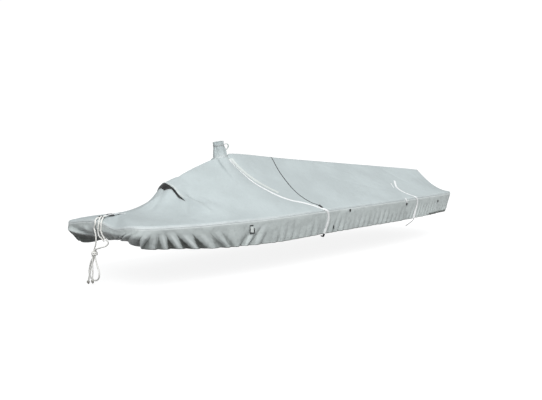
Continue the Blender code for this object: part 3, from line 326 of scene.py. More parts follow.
def read_curve(keys, rows, at):
    """Reads a smooth curve through rows of numbers at an array of keys."""
    keys, rows = np.asarray(keys, float), np.asarray(rows, float)
    at = np.atleast_1d(at)
    slopes = np.empty_like(rows)
    slopes[0] = (rows[1] - rows[0]) / (keys[1] - keys[0])
    slopes[-1] = (rows[-1] - rows[-2]) / (keys[-1] - keys[-2])
    back, ahead = np.diff(keys)[:-1, None], np.diff(keys)[1:, None]
    steps = np.diff(rows, axis=0)
    slopes[1:-1] = (steps[:-1] / back * ahead + steps[1:] / ahead * back) / (back + ahead)
    index = np.clip(np.searchsorted(keys, at, side="left") - 1, 0, len(keys) - 2)
    span = (keys[index + 1] - keys[index])[:, None]
    f = (at - keys[index])[:, None] / span
    return ((2 * f**3 - 3 * f**2 + 1) * rows[index] + (f**3 - 2 * f**2 + f) * span * slopes[index]
            + (3 * f**2 - 2 * f**3) * rows[index + 1] + (f**3 - f**2) * span * slopes[index + 1])


NAMES = [row[0] for row in SECTIONS]
VALUES = np.array([row[1:] for row in SECTIONS])
KEYS = curve_keys(VALUES[:, :2])
RAIL_LENGTH = float(KEYS[-1])


def distance_of(name):
    """The distance round the rail of one named section."""
    return float(KEYS[NAMES.index(name)])


def section(at):
    """The sections' values at distances round the rail, as arrays by column name."""
    found = read_curve(KEYS, VALUES, at)
    return {name: found[:, i] for i, name in enumerate(SECTION_COLUMNS)}


def outward_at(at):
    """The directions in plan that point away from the boat, one row for each distance."""
    step = 0.004
    ahead = section(np.minimum(at + step, RAIL_LENGTH))
    before = section(np.maximum(at - step, 0.0))
    along = np.stack([ahead["rail_x"] - before["rail_x"], ahead["half"] - before["half"]], 1)
    along[at < step] = (0.0, 1.0)
    along[at > RAIL_LENGTH - step] = (0.0, -1.0)
    along /= np.linalg.norm(along, axis=1)[:, None]
    return np.stack([-along[:, 1], along[:, 0]], 1)


def smooth(value):
    """Eases from 0 to 1."""
    value = np.clip(value, 0.0, 1.0)
    return value * value * (3 - 2 * value)


def segment_bump(x, y, x_0, y_0, x_1, y_1, width):
    """A soft ridge of height 1 along a segment, fading at both ends."""
    length = (x_1 - x_0) ** 2 + (y_1 - y_0) ** 2
    share = np.clip(((x - x_0) * (x_1 - x_0) + (y - y_0) * (y_1 - y_0)) / length, 0.0, 1.0)
    away = np.hypot(x - x_0 - share * (x_1 - x_0), y - y_0 - share * (y_1 - y_0)) / width
    return np.exp(-away * away) * (0.35 + 0.65 * np.sin(math.pi * (0.15 + 0.7 * share)))


def ripples(points, rows):
    """Smooth noise at each of an array of points, from rows of height, size and seed."""
    total = 0.0
    for height, size, seed in rows:
        flat = (points.reshape(-1, 3) / size + seed).tolist()
        total = total + height * np.array([noise.noise(spot) for spot in flat])
    return total.reshape(points.shape[:-1])


# ---------------- the cloth's surface
def hood_relief(at, half, upper):
    """The raised cloth on either side of the vent's slit."""
    table = np.array(HOOD)
    lifts = read_curve(table[:, 0], table[:, 1:], np.clip(half, 0.0, 0.3).ravel())
    lifts = np.maximum(lifts, 0.0).reshape(*half.shape, 2)
    mouth, roof, foot = (distance_of(n) for n in ("vent mouth", "vent roof", "slope foot"))
    at = at[:, None]
    below = lifts[..., 1] * smooth((at - foot) / (mouth - foot)) ** 2
    share = np.clip((at - mouth) / (roof - mouth), 0.0, 1.0)
    # The roof falls almost straight behind the crown, and rounder behind the shoulders.
    near, far = (1 - share) ** 0.85, 1 - smooth(share * 0.62) / smooth(0.62)
    blend = smooth((half - 0.05) / 0.08)
    above = lifts[..., 0] * np.maximum(near * (1 - blend) + far * blend, 0.0)
    return np.where((at > mouth) | ((at == mouth) & upper), above, below)


def bow_rise(rows, side, at):
    """How much one side's rows of sinks or pinches come to at distances round the rail."""
    return sum(height * smooth(1 - np.abs(at - centre) / width)
               for row_side, centre, height, width in rows if row_side == side)


def tent_grid(side, at, rows, bend, upper=True, relief=1.0):
    """The cloth's points from its top down to the rail's seam, one row for each distance."""
    here = section(at)
    end = section(np.array([distance_of("stern corner")]))
    for name in ("top_x", "top_y", "top_z"):
        here[name] = np.where(at > distance_of("stern corner"), end[name][0], here[name])
    here["rail_z"] = here["rail_z"] - bow_rise(SINKS, side, at)
    outward = outward_at(at)
    rail = np.stack([here["rail_x"], here["half"]], 1)
    top = np.stack([here["top_x"], here["top_y"]], 1)
    reach = ((rail - top) * outward).sum(1)
    rise = here["top_z"] - here["rail_z"]
    length = np.linalg.norm(rail - top, axis=1)
    angle = (np.arctan2(rise, reach - RAIL_RADIUS)
             - np.arcsin(RAIL_RADIUS / np.hypot(rise, reach - RAIL_RADIUS))
             - np.arctan(4 * here["sag"] / np.maximum(length, 0.2)))
    angle = np.clip(angle, LEAST_SLOPE, GREATEST_SLOPE)[:, None]
    foot = rail + outward * RAIL_RADIUS * (np.sin(angle) - 1)
    foot_z = here["rail_z"][:, None] + RAIL_RADIUS * np.cos(angle)
    ease = np.where(at < distance_of("vent roof"), 0.05, np.minimum(RIDGE_RADIUS / length, 0.3))
    ease = ease[:, None]
    t = np.asarray(rows)[None, :]
    plan = top[:, None] + (foot - top)[:, None] * t[..., None]
    plan[..., 0] += 4 * here["swing"][:, None] * t * (1 - t)
    share = (np.hypot(t, ease) - ease) / (np.hypot(1, ease) - ease)
    z = here["top_z"][:, None] + (foot_z - here["top_z"][:, None]) * share
    z -= 4 * here["sag"][:, None] * t * (1 - t)
    fade = smooth((1 - t) / 0.12) * smooth(t / 0.04)
    for table, gain in ((CREASES, 1.0), (FINE_CREASES, relief)):
        for row_side, x_0, y_0, x_1, y_1, width, height in table:
            if row_side in (0, side):
                z += gain * height * fade * segment_bump(
                    plan[..., 0], plan[..., 1], x_0, y_0, x_1, y_1, width)
    z += hood_relief(at, plan[..., 1], upper)
    spots = np.stack([plan[..., 0], plan[..., 1] * side, z * 0.5], -1)
    z += relief * fade * smooth(t / 0.2) * ripples(spots, TENT_RIPPLES)
    turn = angle + (math.pi / 2 - angle) * np.arange(1, bend + 1)[None, :] / bend
    bent = rail[:, None] + outward[:, None] * (RAIL_RADIUS * (np.sin(turn) - 1))[..., None]
    bent_z = here["rail_z"][:, None] + RAIL_RADIUS * np.cos(turn)
    return place(side, at[:, None], np.concatenate([plan, bent], 1),
                 np.concatenate([z, bent_z], 1))


def relax(points, at, centre, reach, passes):
    """Eases the columns near one distance round the rail towards their neighbours' mean."""
    near = smooth((reach - np.abs(at - centre)) / (0.5 * reach))[1:-1, None, None]
    for _ in range(passes):
        mean = (points[:-2] + 2 * points[1:-1] + points[2:]) / 4
        points[1:-1] += near * (mean - points[1:-1])
    return points


def place(side, at, plan, z):
    """Turns points of one half into the boat's own coordinates."""
    least = np.where(at < distance_of("bow side"), SLIT_HALF, 0.0)
    return np.stack([plan[..., 0], side * np.maximum(plan[..., 1], least), z], -1)


def skirt_lines(side):
    """Every fold line of one side's skirt, in order from the bow's slit to the transom."""
    lines = [*FOLDS[side], *FOLDS[0]]
    for first, last, step, lean, height in PUCKERS:
        count = round((last - first) / step)
        for index in range(count + 1):
            hem = first + (last - first) * index / count
            uneven = 1 + 0.35 * math.sin(7.3 * hem + side) + 0.25 * math.sin(17.0 * hem)
            sign = 1 if index % 2 else -1
            lines.append((min(hem + lean, RAIL_LENGTH - 0.03), hem, sign * height * uneven, 0.1))
    lines.append((RAIL_LENGTH, RAIL_LENGTH, 0.0, 0.0))
    return np.array(lines)


def skirt_columns(side, between):
    """Columns of the skirt, a number of them from one fold line to the next: where each
    leaves the seam and reaches the hem, how far it stands out and where that begins, and the
    crest's height and the depth of the fold that it is in."""
    lines = skirt_lines(side)
    steps = np.arange((len(lines) - 1) * between + 1) / between
    index = np.minimum(steps.astype(int), len(lines) - 2)
    share = (steps - index)[:, None]
    low, high = lines[index], lines[index + 1]
    seam, hem, _, begin = np.split(low + (high - low) * share, 4, 1)
    low, high = low[:, 2:3], high[:, 2:3]
    ease = np.where(high > low, np.sin(share * math.pi / 2) ** FOLD_SHARP,
                    1 - np.cos(share * math.pi / 2) ** FOLD_SHARP)
    crest = np.maximum(low, high)
    return seam, hem, low + (high - low) * ease, begin, crest, crest - np.minimum(low, high)


def skirt_grid(side, between, rows, gain):
    """The skirt's points from its seam down to its hem, their distances round the rail, and
    the painted shade and highlights of its folds."""
    seam, hem, height, begin, crest, deep = skirt_columns(side, between)
    q = np.asarray(rows)[None, :]
    at = seam + (hem - seam) * q
    here = {name: found.reshape(at.shape) for name, found in section(at.ravel()).items()}
    outward = outward_at(at.ravel()).reshape(*at.shape, 2)
    sink = bow_rise(SINKS, side, at)
    push = gain * height * smooth((q - begin) / (1.0 - begin)) - here["tuck"] * q ** 1.4
    push += smooth((BOW_ROUND - at) / BOW_FADE) * (
        BOW_BULGE * np.sin(math.pi * np.minimum(q / 0.8, 1.0)) ** 2 - BOW_UNDERCUT * q ** 3)
    for row_side, d_0, q_0, d_1, q_1, width, rise in LONG_FOLDS:
        if row_side == side:
            push += rise * smooth(q / 0.2) * segment_bump(
                at, q * LONG_FOLD_DROP, d_0, q_0 * LONG_FOLD_DROP, d_1, q_1 * LONG_FOLD_DROP,
                width)
    spots = np.stack([at, np.full_like(at, side), np.broadcast_to(q * 0.24, at.shape)], -1)
    push += smooth(q / 0.15) * ripples(spots, SKIRT_RIPPLES)
    plan = np.stack([here["rail_x"], here["half"]], -1) + outward * push[..., None]
    drop = here["drop"] - sink - bow_rise(PINCHES, side, at)
    drop = drop + ripples(spots, HEM_RIPPLES) * smooth((q - 0.7) / 0.3)
    level = 1 - (crest - height) / np.maximum(deep, 0.001)
    return (place(side, at, plan, here["rail_z"] - sink - drop * q), at,
            paint_skirt_light(side, at, q, level, deep))


def paint_skirt_light(side, at, q, level, deep):
    """Painted shade on the skirt, up to 1, and painted highlight, below 0.  The level runs from
    0 in a fold's trough to 1 on its crest."""
    full = np.clip(deep / DEEP_FOLD - 0.25, 0.0, 1.0)
    fore = smooth((FORE_END - at) / 0.5)
    # Painted shade in the fold troughs, darker towards the hem.
    trough = smooth((0.84 * smooth((q - 0.18) / 0.82) - level) / 0.22) * full
    trough = trough * (1 - 0.6 * smooth((at - 1.28) / 0.20))
    # Painted shade on the fore skirt, darker towards the hem and lighter on the crests.
    shaded = fore * smooth((q - 0.35) / 0.65) * (0.60 - 0.50 * level)
    # Painted highlight: a pale line along the crests of the fore skirt's deep folds.
    crest_highlight = fore * smooth((level - 0.88) / 0.10) * smooth((q - 0.2) / 0.3) * full
    # On the starboard bow's front: painted shade below the long crest, a painted highlight along
    # it.
    if side == STARBOARD:
        _, d_0, q_0, d_1, q_1, *_ = LONG_FOLDS[0]
        line = q_0 + (q_1 - q_0) * np.clip((at - d_0) / (d_1 - d_0), 0.0, 1.0)
        front = smooth((0.9 - at) / 0.2)
        shaded = np.maximum(shaded * (1 - front), 0.95 * front * smooth((q - line) / 0.04))
        crest_highlight = np.maximum(crest_highlight * (1 - front),
                           front * np.exp(-((q - line + 0.03) / 0.03) ** 2))
    # The hem is made darker from just before the aft deck to the stern corner.
    stern_hem_dark = smooth((at - distance_of("aft deck") + 0.35) / 0.1) * smooth((q - 0.86) / 0.08)
    stern_hem_dark *= smooth((distance_of("stern corner") - at) / 0.05)
    painted_light = np.maximum(np.maximum(trough, shaded), stern_hem_dark)
    # Crests take a painted highlight in place of the shade, and a band of painted highlight runs
    # just under the seam.
    return painted_light * (1 - crest_highlight) - 0.35 * crest_highlight - 0.4 * smooth((0.11 - q) / 0.10)


# ---------------- meshes
def new_object(name, data):
    """Links a new object to the scene."""
    made = bpy.data.objects.new(name, data)
    bpy.context.scene.collection.objects.link(made)
    return made


def add_piece(name, mesh, material):
    """Links a mesh as a piece that rides on the part's body."""
    mesh.materials.append(material)
    made = new_object(name, mesh)
    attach(made, "root")
    return made


def stand_for(made, node):
    """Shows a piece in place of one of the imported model's nodes."""
    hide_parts(node)
    return made


def new_mesh(name, points, faces, spots):
    """A mesh whose texture coordinates say how far along and across it each point lies."""
    mesh = bpy.data.meshes.new(name)
    mesh.from_pydata([tuple(point) for point in points], [], faces)
    corners = np.empty(len(mesh.loops), int)
    mesh.loops.foreach_get("vertex_index", corners)
    layer = mesh.uv_layers.new(name="lie")
    layer.data.foreach_set("uv", np.array(spots, float)[corners].ravel())
    return mesh


def cloth_mesh(name, grids):
    """A sheet from grids of points, each (side, points, lie, shade)."""
    points, faces, spots, shades = [], [], [], []
    for side, grid, lie, shade in grids:
        columns, rows = grid.shape[:2]
        for i in range(columns - 1):
            for a in range(len(points) + i * rows, len(points) + (i + 1) * rows - 1):
                quad = (a, a + 1, a + rows + 1, a + rows)
                faces.append(quad[::-1] if side == STARBOARD else quad)
        points += (grid - HOLD_POINT).reshape(-1, 3).tolist()
        spots += lie.reshape(-1, 2).tolist()
        shades += shade.ravel().tolist()
    mesh = new_mesh(name, points, faces, spots)
    # Each point's painted shade, or below 0 its painted highlight, goes to the material.
    mesh.attributes.new("painted_light", "FLOAT", "POINT").data.foreach_set("value", shades)
    work = bmesh.new()
    work.from_mesh(mesh)
    bmesh.ops.remove_doubles(work, verts=work.verts, dist=0.0004)
    bmesh.ops.dissolve_degenerate(work, edges=work.edges, dist=0.00005)
    outer = work.faces[:]
    work.normal_update()
    turned = sum(face.normal.z * face.calc_area() for face in outer)
    if name.startswith("skirt"):
        middle = sum((v.co for v in work.verts), Vector()) / len(work.verts)
        middle.y = 0.0
        turned = sum(face.normal.dot(face.calc_center_median() - middle) for face in outer)
    if turned < 0:
        bmesh.ops.reverse_faces(work, faces=outer)
    work.to_mesh(mesh)
    work.free()
    mesh.polygons.foreach_set("use_smooth", [True] * len(mesh.polygons))
    return mesh


def cloth_piece(node, grids, kind, thickness):
    """A sheet of cloth that later bands lie on, thick inwards from its surface, with painted
    shade on its inner side.
    """
    mesh = cloth_mesh(node + "_cloth", grids)
    made = add_piece(node + "_cloth", mesh, surface(kind))
    add_laid(mesh)
    solid = made.modifiers.new("Thickness", "SOLIDIFY")
    solid.thickness = thickness
    solid.offset = -1.0
    solid.use_even_offset = False
    # Painted shade: the inner faces take a near-black canvas.
    mesh.materials.append(surface("lining"))
    solid.material_offset = 1
    return stand_for(made, node)


def body_from(name, points, faces, spots, material, sharp=0.7):
    """One closed outward piece."""
    mesh = new_mesh(name, points, faces, spots)
    work = bmesh.new()
    work.from_mesh(mesh)
    bmesh.ops.recalc_face_normals(work, faces=work.faces)
    work.to_mesh(mesh)
    work.free()
    mesh.polygons.foreach_set("use_smooth", [True] * len(mesh.polygons))
    mesh.set_sharp_from_angle(angle=sharp)
    return add_piece(name, mesh, material)


def tube_faces(stations, sides, ended=True):
    """The faces of a tube of rings of points, by index, with or without its two ends."""
    last = (stations - 1) * sides
    faces = [(a + k, a + (k + 1) % sides, a + (k + 1) % sides + sides, a + k + sides)
             for a in range(0, last, sides) for k in range(sides)]
    if ended:
        faces += [tuple(range(sides))[::-1], tuple(range(last, last + sides))]
    return faces


# ---------------- bands on the cloth
LAID = {"points": [], "faces": [], "tree": None}


def add_laid(mesh):
    """Adds a mesh to what later bands lie on."""
    first = len(LAID["points"])
    LAID["points"] += [v.co.copy() for v in mesh.vertices]
    LAID["faces"] += [tuple(first + i for i in face.vertices) for face in mesh.polygons]
    LAID["tree"] = BVHTree.FromPolygons(LAID["points"], LAID["faces"])


def resample(route, spacing):
    """Points at an even spacing along a smooth curve through a route, in the frame."""
    keys = curve_keys(route)
    count = max(round(keys[-1] / spacing), 4)
    rows = read_curve(keys, np.asarray(route, float), np.linspace(0, keys[-1], count + 1))
    return [Vector(row) for row in rows - HOLD_POINT]


def travel(points):
    """The direction of travel at each point of a line."""
    last = len(points) - 1
    return [(points[min(i + 1, last)] - points[max(i - 1, 0)]).normalized()
            for i in range(last + 1)]


def spread(values, reach):
    """Each value's largest neighbour within reach, then an even running mean."""
    count = len(values)
    high = [max(values[max(i - reach, 0):i + reach + 1]) for i in range(count)]
    return [sum(high[max(i - reach, 0):i + reach + 1])
            / len(high[max(i - reach, 0):i + reach + 1]) for i in range(count)]


def eased(points):
    """Moves each point but the two ends to the mean of itself and its neighbours."""
    inner = [(a + b * 2 + c) / 4 for a, b, c in zip(points, points[1:], points[2:])]
    return [points[0], *inner, points[-1]]


def laid_band(name, route, width, thickness, material, across=4, reach=3, onto=False):
    """A woven band that lies over the cloth along a route and bridges its small hollows."""
    tree = LAID["tree"]
    near = [tree.find_nearest(point)[:2] for point in resample(route, BAND_STEP)]
    ups = [sum((n for _, n in near[max(i - 4, 0):i + 5]), Vector()).normalized()
           for i in range(len(near))]
    centres = eased(eased([spot for spot, _ in near]))
    steps = range(across + 1)
    stations, heights = [], []
    for centre, along, up in zip(centres, travel(centres), ups):
        side = along.cross(up).normalized()
        up = side.cross(along).normalized()
        row = []
        for step in steps:
            spot = centre + side * width * (step / across - 0.5)
            hit = tree.ray_cast(spot + up * BAND_PROBE, -up, 2 * BAND_PROBE)[0]
            row.append((hit - spot).dot(up) if hit else -0.01)
        stations.append((centre, side, up))
        heights.append(row)
    lanes = [spread([row[step] for row in heights], reach) for step in steps]
    points, spots = [], []
    for index, (centre, side, up) in enumerate(stations):
        for level, order in ((BAND_LIFT, steps), (BAND_LIFT + thickness, steps[::-1])):
            for step in order:
                lane = max(lanes[k][index] for k in steps if abs(k - step) <= 1)
                rise = max(lane * 0.5 + lanes[step][index] * 0.5, heights[index][step])
                points.append(centre + side * width * (step / across - 0.5)
                              + up * (rise + level))
                spots.append((index * BAND_STEP, width * step / across))
    ring = 2 * (across + 1)
    last = (len(stations) - 1) * ring
    faces = tube_faces(len(stations), ring, ended=False)
    for step in range(across):
        quad = (step, step + 1, ring - 2 - step, ring - 1 - step)
        faces += [quad[::-1], tuple(last + corner for corner in quad)]
    made = body_from(name, points, faces, spots, material)
    if onto:
        add_laid(made.data)
    return made


def free_band(name, route, across, width, thickness, material):
    """A band that stands free along a route, its width in one direction."""
    fine = resample(route, FREE_STEP)
    points, spots = [], []
    for index, (centre, along) in enumerate(zip(fine, travel(fine))):
        up = across.cross(along).normalized()
        for a, b in ((-0.5, 0.0), (0.5, 0.0), (0.5, 1.0), (-0.5, 1.0)):
            points.append(centre + across * width * a + up * thickness * b)
            spots.append((index * FREE_STEP, width * (a + 0.5)))
    return body_from(name, points, tube_faces(len(fine), 4), spots, material)


def mirrored(route, side):
    """A route of the port side, or its mirror on the starboard side."""
    return [(x, y if side == PORT else -y, z) for x, y, z in route]


# ---------------- ropes
def rope_path(route, diameter, push=True):
    """Points along a rope, pushed clear of the cloth that it touches."""
    points = resample(route, ROPE_STEP)
    clear = diameter / 2 + ROPE_CLEAR
    for _ in range(4 if push else 0):
        for index, point in enumerate(points):
            spot, normal = LAID["tree"].find_nearest(point)[:2]
            gap = (point - spot).dot(normal)
            if (point - spot).length < diameter * 1.5 and gap < clear:
                points[index] = point + normal * (clear - gap)
        points = eased(points)
    return points


def rope_body(name, path, diameter, material):
    """A laid rope of twisted strands along a path, with rounded ends."""
    fine = [spot for a, b in zip(path, path[1:]) for spot in (a, a.lerp(b, 0.5))] + path[-1:]
    side = travel(fine)[0].orthogonal().normalized()
    along = 0.0
    points, spots = [], []
    for index, (centre, direction) in enumerate(zip(fine, travel(fine))):
        side = (side - direction * side.dot(direction)).normalized()
        other = direction.cross(side)
        if index:
            along += (centre - fine[index - 1]).length
        twist = 2 * math.pi * along / (ROPE_LAY * diameter)
        radius = diameter / 2 * ROPE_ENDS[min(index, len(fine) - 1 - index, 2)]
        for k in range(ROPE_SIDES):
            turn = 2 * math.pi * k / ROPE_SIDES
            lobe = abs(math.cos((turn - twist) * ROPE_STRANDS / 2))
            reach = radius * (0.86 + 0.14 * lobe ** 0.6)
            points.append(centre + side * reach * math.cos(turn) + other * reach * math.sin(turn))
            spots.append((along, turn / (2 * math.pi)))
    faces = tube_faces(len(fine), ROPE_SIDES)
    return body_from(name, points, faces, spots, material, sharp=1.2)


# ---------------- materials
class Nodes:
    """A small builder for the nodes of a material or a world."""

    def __init__(self, owner):
        """Turns the owner's nodes on."""
        owner.use_nodes = True
        self.owner, self.tree = owner, owner.node_tree

    def feed(self, node, inputs):
        """Gives a node's inputs numbers, colours or other nodes' outputs."""
        for key, value in inputs.items():
            if isinstance(value, (int, float)):
                node.inputs[key].default_value = value
            elif isinstance(value, tuple):
                node.inputs[key].default_value = (*value, 1.0)
            else:
                self.tree.links.new(value, node.inputs[key])

    def add(self, kind, inputs=None, output=0, **settings):
        """Adds a node, feeds it, and gives back one output, or all of them for None."""
        node = self.tree.nodes.new("ShaderNode" + kind)
        for key, value in settings.items():
            setattr(node, key, value)
        self.feed(node, inputs or {})
        return node.outputs if output is None else node.outputs[output]

    def finish(self, inputs):
        """Feeds the material's shader and gives back the material."""
        self.feed(self.tree.nodes["Principled BSDF"], inputs)
        return self.owner

    def math(self, operation, a, b=0.0, clamp=False):
        """A Math node from numbers or outputs."""
        return self.add("Math", {0: a, 1: b}, operation=operation, use_clamp=clamp)

    def noise(self, vector, scale, detail=3.0, roughness=0.5):
        """A Noise node's value."""
        return self.add("TexNoise", {"Vector": vector, "Scale": scale, "Detail": detail,
                                     "Roughness": roughness}, "Fac")

    def wave(self, vector, direction, scale):
        """A band pattern's value."""
        return self.add("TexWave", {"Vector": vector, "Scale": scale}, "Fac",
                        wave_type="BANDS", bands_direction=direction)

    def mix(self, factor, a, b):
        """A colour between two colours."""
        return self.add("Mix", {"Factor": factor, 6: a, 7: b}, 2, data_type="RGBA")

    def span(self, value, low, high, to_low=0.0, to_high=1.0):
        """Carries a value from one range to another, eased."""
        return self.add("MapRange", {0: value, 1: low, 2: high, 3: to_low, 4: to_high},
                        interpolation_type="SMOOTHSTEP")

    def bump(self, height, strength, distance, after=None):
        """A Bump node's normal."""
        inputs = {"Height": height, "Strength": strength, "Distance": distance}
        if after is not None:
            inputs["Normal"] = after
        return self.add("Bump", inputs, "Normal")

    def lie(self):
        """How far along a piece and across it a point of it lies, together and each."""
        uv = self.add("UVMap", output="UV", uv_map="lie")
        parts = self.add("SeparateXYZ", {0: uv}, None)
        return uv, parts["X"], parts["Y"]

    def stitches(self, along, across, rows, half):
        """Rows of stitches at distances across a piece, as a mask."""
        pitches = self.math("MULTIPLY", along, 1 / STITCH)
        dash = self.math("GREATER_THAN", self.math("FRACT", pitches), 0.28)
        total = None
        for row in rows:
            away = self.math("ABSOLUTE", self.math("SUBTRACT", across, row))
            line = self.math("MULTIPLY", self.math("LESS_THAN", away, half), dash)
            total = line if total is None else self.math("MAXIMUM", total, line)
        return total


STITCH = 0.006                  # from one stitch to the next
# The colour of the painted highlights on the canvas.
PAINTED_HIGHLIGHT = (0.84, 0.88, 0.88)
BLACK = (0.022, 0.023, 0.025)


def shades(colour, *gains):
    """A colour made darker or lighter, once for each gain."""
    return [tuple(min(c * gain, 1.0) for c in colour) for gain in gains]


def canvas(name, colour, dirt_and_shade, wrinkle, stitches=(), rim_highlight=0.0):
    """Coated canvas: a tight weave, soft wrinkles, cloudy colour, random dirt, painted shade
    in its pockets and painted highlights on its crests and, where asked, along its lower edge."""
    nodes = Nodes(bpy.data.materials.new(name))
    uv, along, across = nodes.lie()
    spot = nodes.add("TexCoord", output="Object")
    grime = nodes.noise(spot, 14.0, 5.0, 0.62)
    base = nodes.mix(nodes.span(nodes.noise(spot, 2.6, 4.0), 0.36, 0.66),
                     *shades(colour, 0.94, 1.03))
    base = nodes.mix(nodes.span(grime, 0.52, 0.80, 0.0, 0.30), base, dirt_and_shade)
    # Painted shade: where a piece marks it, the canvas darkens towards its second colour.
    painted_light = nodes.add("Attribute", output="Fac", attribute_name="painted_light")
    base = nodes.mix(nodes.math("MULTIPLY", painted_light, 0.94, clamp=True), base, dirt_and_shade)
    # Painted highlights: where the same mark is below 0, the canvas turns pale.
    wear_and_highlight = nodes.math("MULTIPLY", painted_light, -1.0, clamp=True)
    # A painted highlight along the lower edge, patchy, and weaker aft.
    if rim_highlight:
        edge_highlight = nodes.math("MULTIPLY", nodes.span(across, 0.040, 0.006, 0.0, rim_highlight),
                          nodes.span(nodes.noise(spot, 5.0), 0.3, 0.6, 0.5, 1.0))
        edge_highlight = nodes.math("MULTIPLY", edge_highlight, nodes.span(along, 1.8, 2.9, 1.0, 0.35))
        wear_and_highlight = nodes.math("MAXIMUM", wear_and_highlight, edge_highlight)
    base = nodes.mix(wear_and_highlight, base, PAINTED_HIGHLIGHT)
    weave = nodes.math("ADD", nodes.wave(uv, "X", 260.0), nodes.wave(uv, "Y", 260.0))
    normal = nodes.bump(weave, 0.12, 0.0005)
    normal = nodes.bump(nodes.noise(spot, 30.0, 4.0, 0.55), wrinkle, 0.006, normal)
    normal = nodes.bump(nodes.noise(spot, 9.0, 2.0), wrinkle, 0.018, normal)
    if stitches:
        thread = nodes.stitches(along, across, stitches, 0.0011)
        base = nodes.mix(nodes.math("MULTIPLY", thread, 0.55), base, (0.30, 0.33, 0.32))
        normal = nodes.bump(thread, 0.5, 0.0008, normal)
    return nodes.finish({"Base Color": base, "Normal": normal, "Sheen Weight": 0.12,
                         "Roughness": nodes.span(grime, 0.3, 0.7, 0.50, 0.66),
                         "Sheen Roughness": 0.5, "Specular IOR Level": 0.32})


def web(name, colour, dirt_and_shade, rough=0.62, width=0.025, black=None):
    """Woven webbing: a ribbed weave, a stitched edge, handling dirt and a black length."""
    nodes = Nodes(bpy.data.materials.new(name))
    uv, along, across = nodes.lie()
    rib = nodes.math("ADD", nodes.wave(uv, "Y", 120.0), nodes.wave(uv, "DIAGONAL", 160.0))
    grime = nodes.noise(nodes.add("TexCoord", output="Object"), 36.0, 4.0, 0.6)
    base = nodes.mix(nodes.span(rib, 0.4, 1.6), *shades(colour, 0.86, 1.0))
    base = nodes.mix(nodes.span(grime, 0.50, 0.78, 0.0, 0.28), base, dirt_and_shade)
    thread = nodes.stitches(along, across, (width * 0.14, width * 0.86), 0.0007)
    base = nodes.mix(nodes.math("MULTIPLY", thread, 0.4), base, dirt_and_shade)
    if black:
        near = nodes.math("MULTIPLY", nodes.math("GREATER_THAN", along, black[0]),
                          nodes.math("LESS_THAN", along, black[1]))
        base = nodes.mix(near, base, BLACK)
    return nodes.finish({"Base Color": base, "Normal": nodes.bump(rib, 0.5, 0.0006),
                         "Roughness": nodes.span(grime, 0.3, 0.7, rough, rough + 0.14),
                         "Sheen Weight": 0.15})


def laid_rope(name, colour, dirt_and_shade):
    """Laid rope: fine yarns across the strands, dirt between them."""
    nodes = Nodes(bpy.data.materials.new(name))
    grime = nodes.noise(nodes.add("TexCoord", output="Object"), 60.0, 4.0, 0.6)
    yarn = nodes.wave(nodes.lie()[0], "DIAGONAL", 95.0)
    base = nodes.mix(nodes.span(yarn, 0.0, 1.0), *shades(colour, 0.84, 1.0))
    base = nodes.mix(nodes.span(grime, 0.50, 0.76, 0.0, 0.35), base, dirt_and_shade)
    return nodes.finish({"Base Color": base, "Normal": nodes.bump(yarn, 0.6, 0.0008),
                         "Roughness": nodes.span(grime, 0.3, 0.7, 0.7, 0.88),
                         "Sheen Weight": 0.2})


def plastic(name, colour, wear_and_highlight):
    """Moulded plastic: a fine grain, worn paler in places."""
    nodes = Nodes(bpy.data.materials.new(name))
    spot = nodes.add("TexCoord", output="Object")
    wear = nodes.noise(spot, 90.0, 4.0, 0.65)
    return nodes.finish({"Base Color": nodes.mix(nodes.span(wear, 0.55, 0.8, 0.0, 0.6),
                                                 colour, wear_and_highlight),
                         "Roughness": nodes.span(wear, 0.3, 0.75, 0.50, 0.70),
                         "Normal": nodes.bump(nodes.noise(spot, 900.0, 2.0), 0.2, 0.0002),
                         "Specular IOR Level": 0.25})


# The cover's materials: what makes each, and from which name, colours and amounts.
SURFACES = {
    # The tent's last amount is the strength of its painted highlight along the lower edge.
    "tent": (canvas, "tent_canvas", (0.500, 0.553, 0.556), (0.40, 0.43, 0.42), 0.26,
             (0.014, 0.022), 0.65),
    # The skirt's near-black second colour is mostly painted shade for its folds and bow, with
    # some random dirt.
    "skirt": (canvas, "skirt_canvas", (0.545, 0.590, 0.580), (0.040, 0.045, 0.038), 0.42,
              (0.006, 0.026)),
    "flap": (canvas, "flap_canvas", (0.66, 0.70, 0.68), (0.46, 0.48, 0.45), 0.25,
             (0.004, 0.036)),
    # The inner side: near-black canvas painted as the shade inside the cover.
    "lining": (canvas, "canvas_lining", (0.050, 0.054, 0.053), (0.035, 0.038, 0.037), 0.26),
    "webbing": (web, "white_webbing", (0.97, 0.98, 0.98), (0.70, 0.70, 0.67)),
    "dark": (web, "dark_webbing", BLACK, (0.07, 0.07, 0.07), 0.7, 0.012),
    "lashing": (web, "tie_webbing", (0.50, 0.53, 0.53), (0.34, 0.36, 0.36), 0.7, 0.006,
                (0.020, 0.105)),
    "rope": (laid_rope, "cream_rope", (0.98, 0.97, 0.93), (0.66, 0.62, 0.52)),
    "rope_end": (laid_rope, "dark_rope", (0.30, 0.29, 0.26), (0.12, 0.11, 0.09)),
    "black": (plastic, "black_plastic", (0.018, 0.018, 0.020), (0.09, 0.09, 0.09)),
}
MADE = {}


def surface(name):
    """One of the cover's materials, made when it is first asked for."""
    if name not in MADE:
        maker, *values = SURFACES[name]
        MADE[name] = maker(*values)
    return MADE[name]


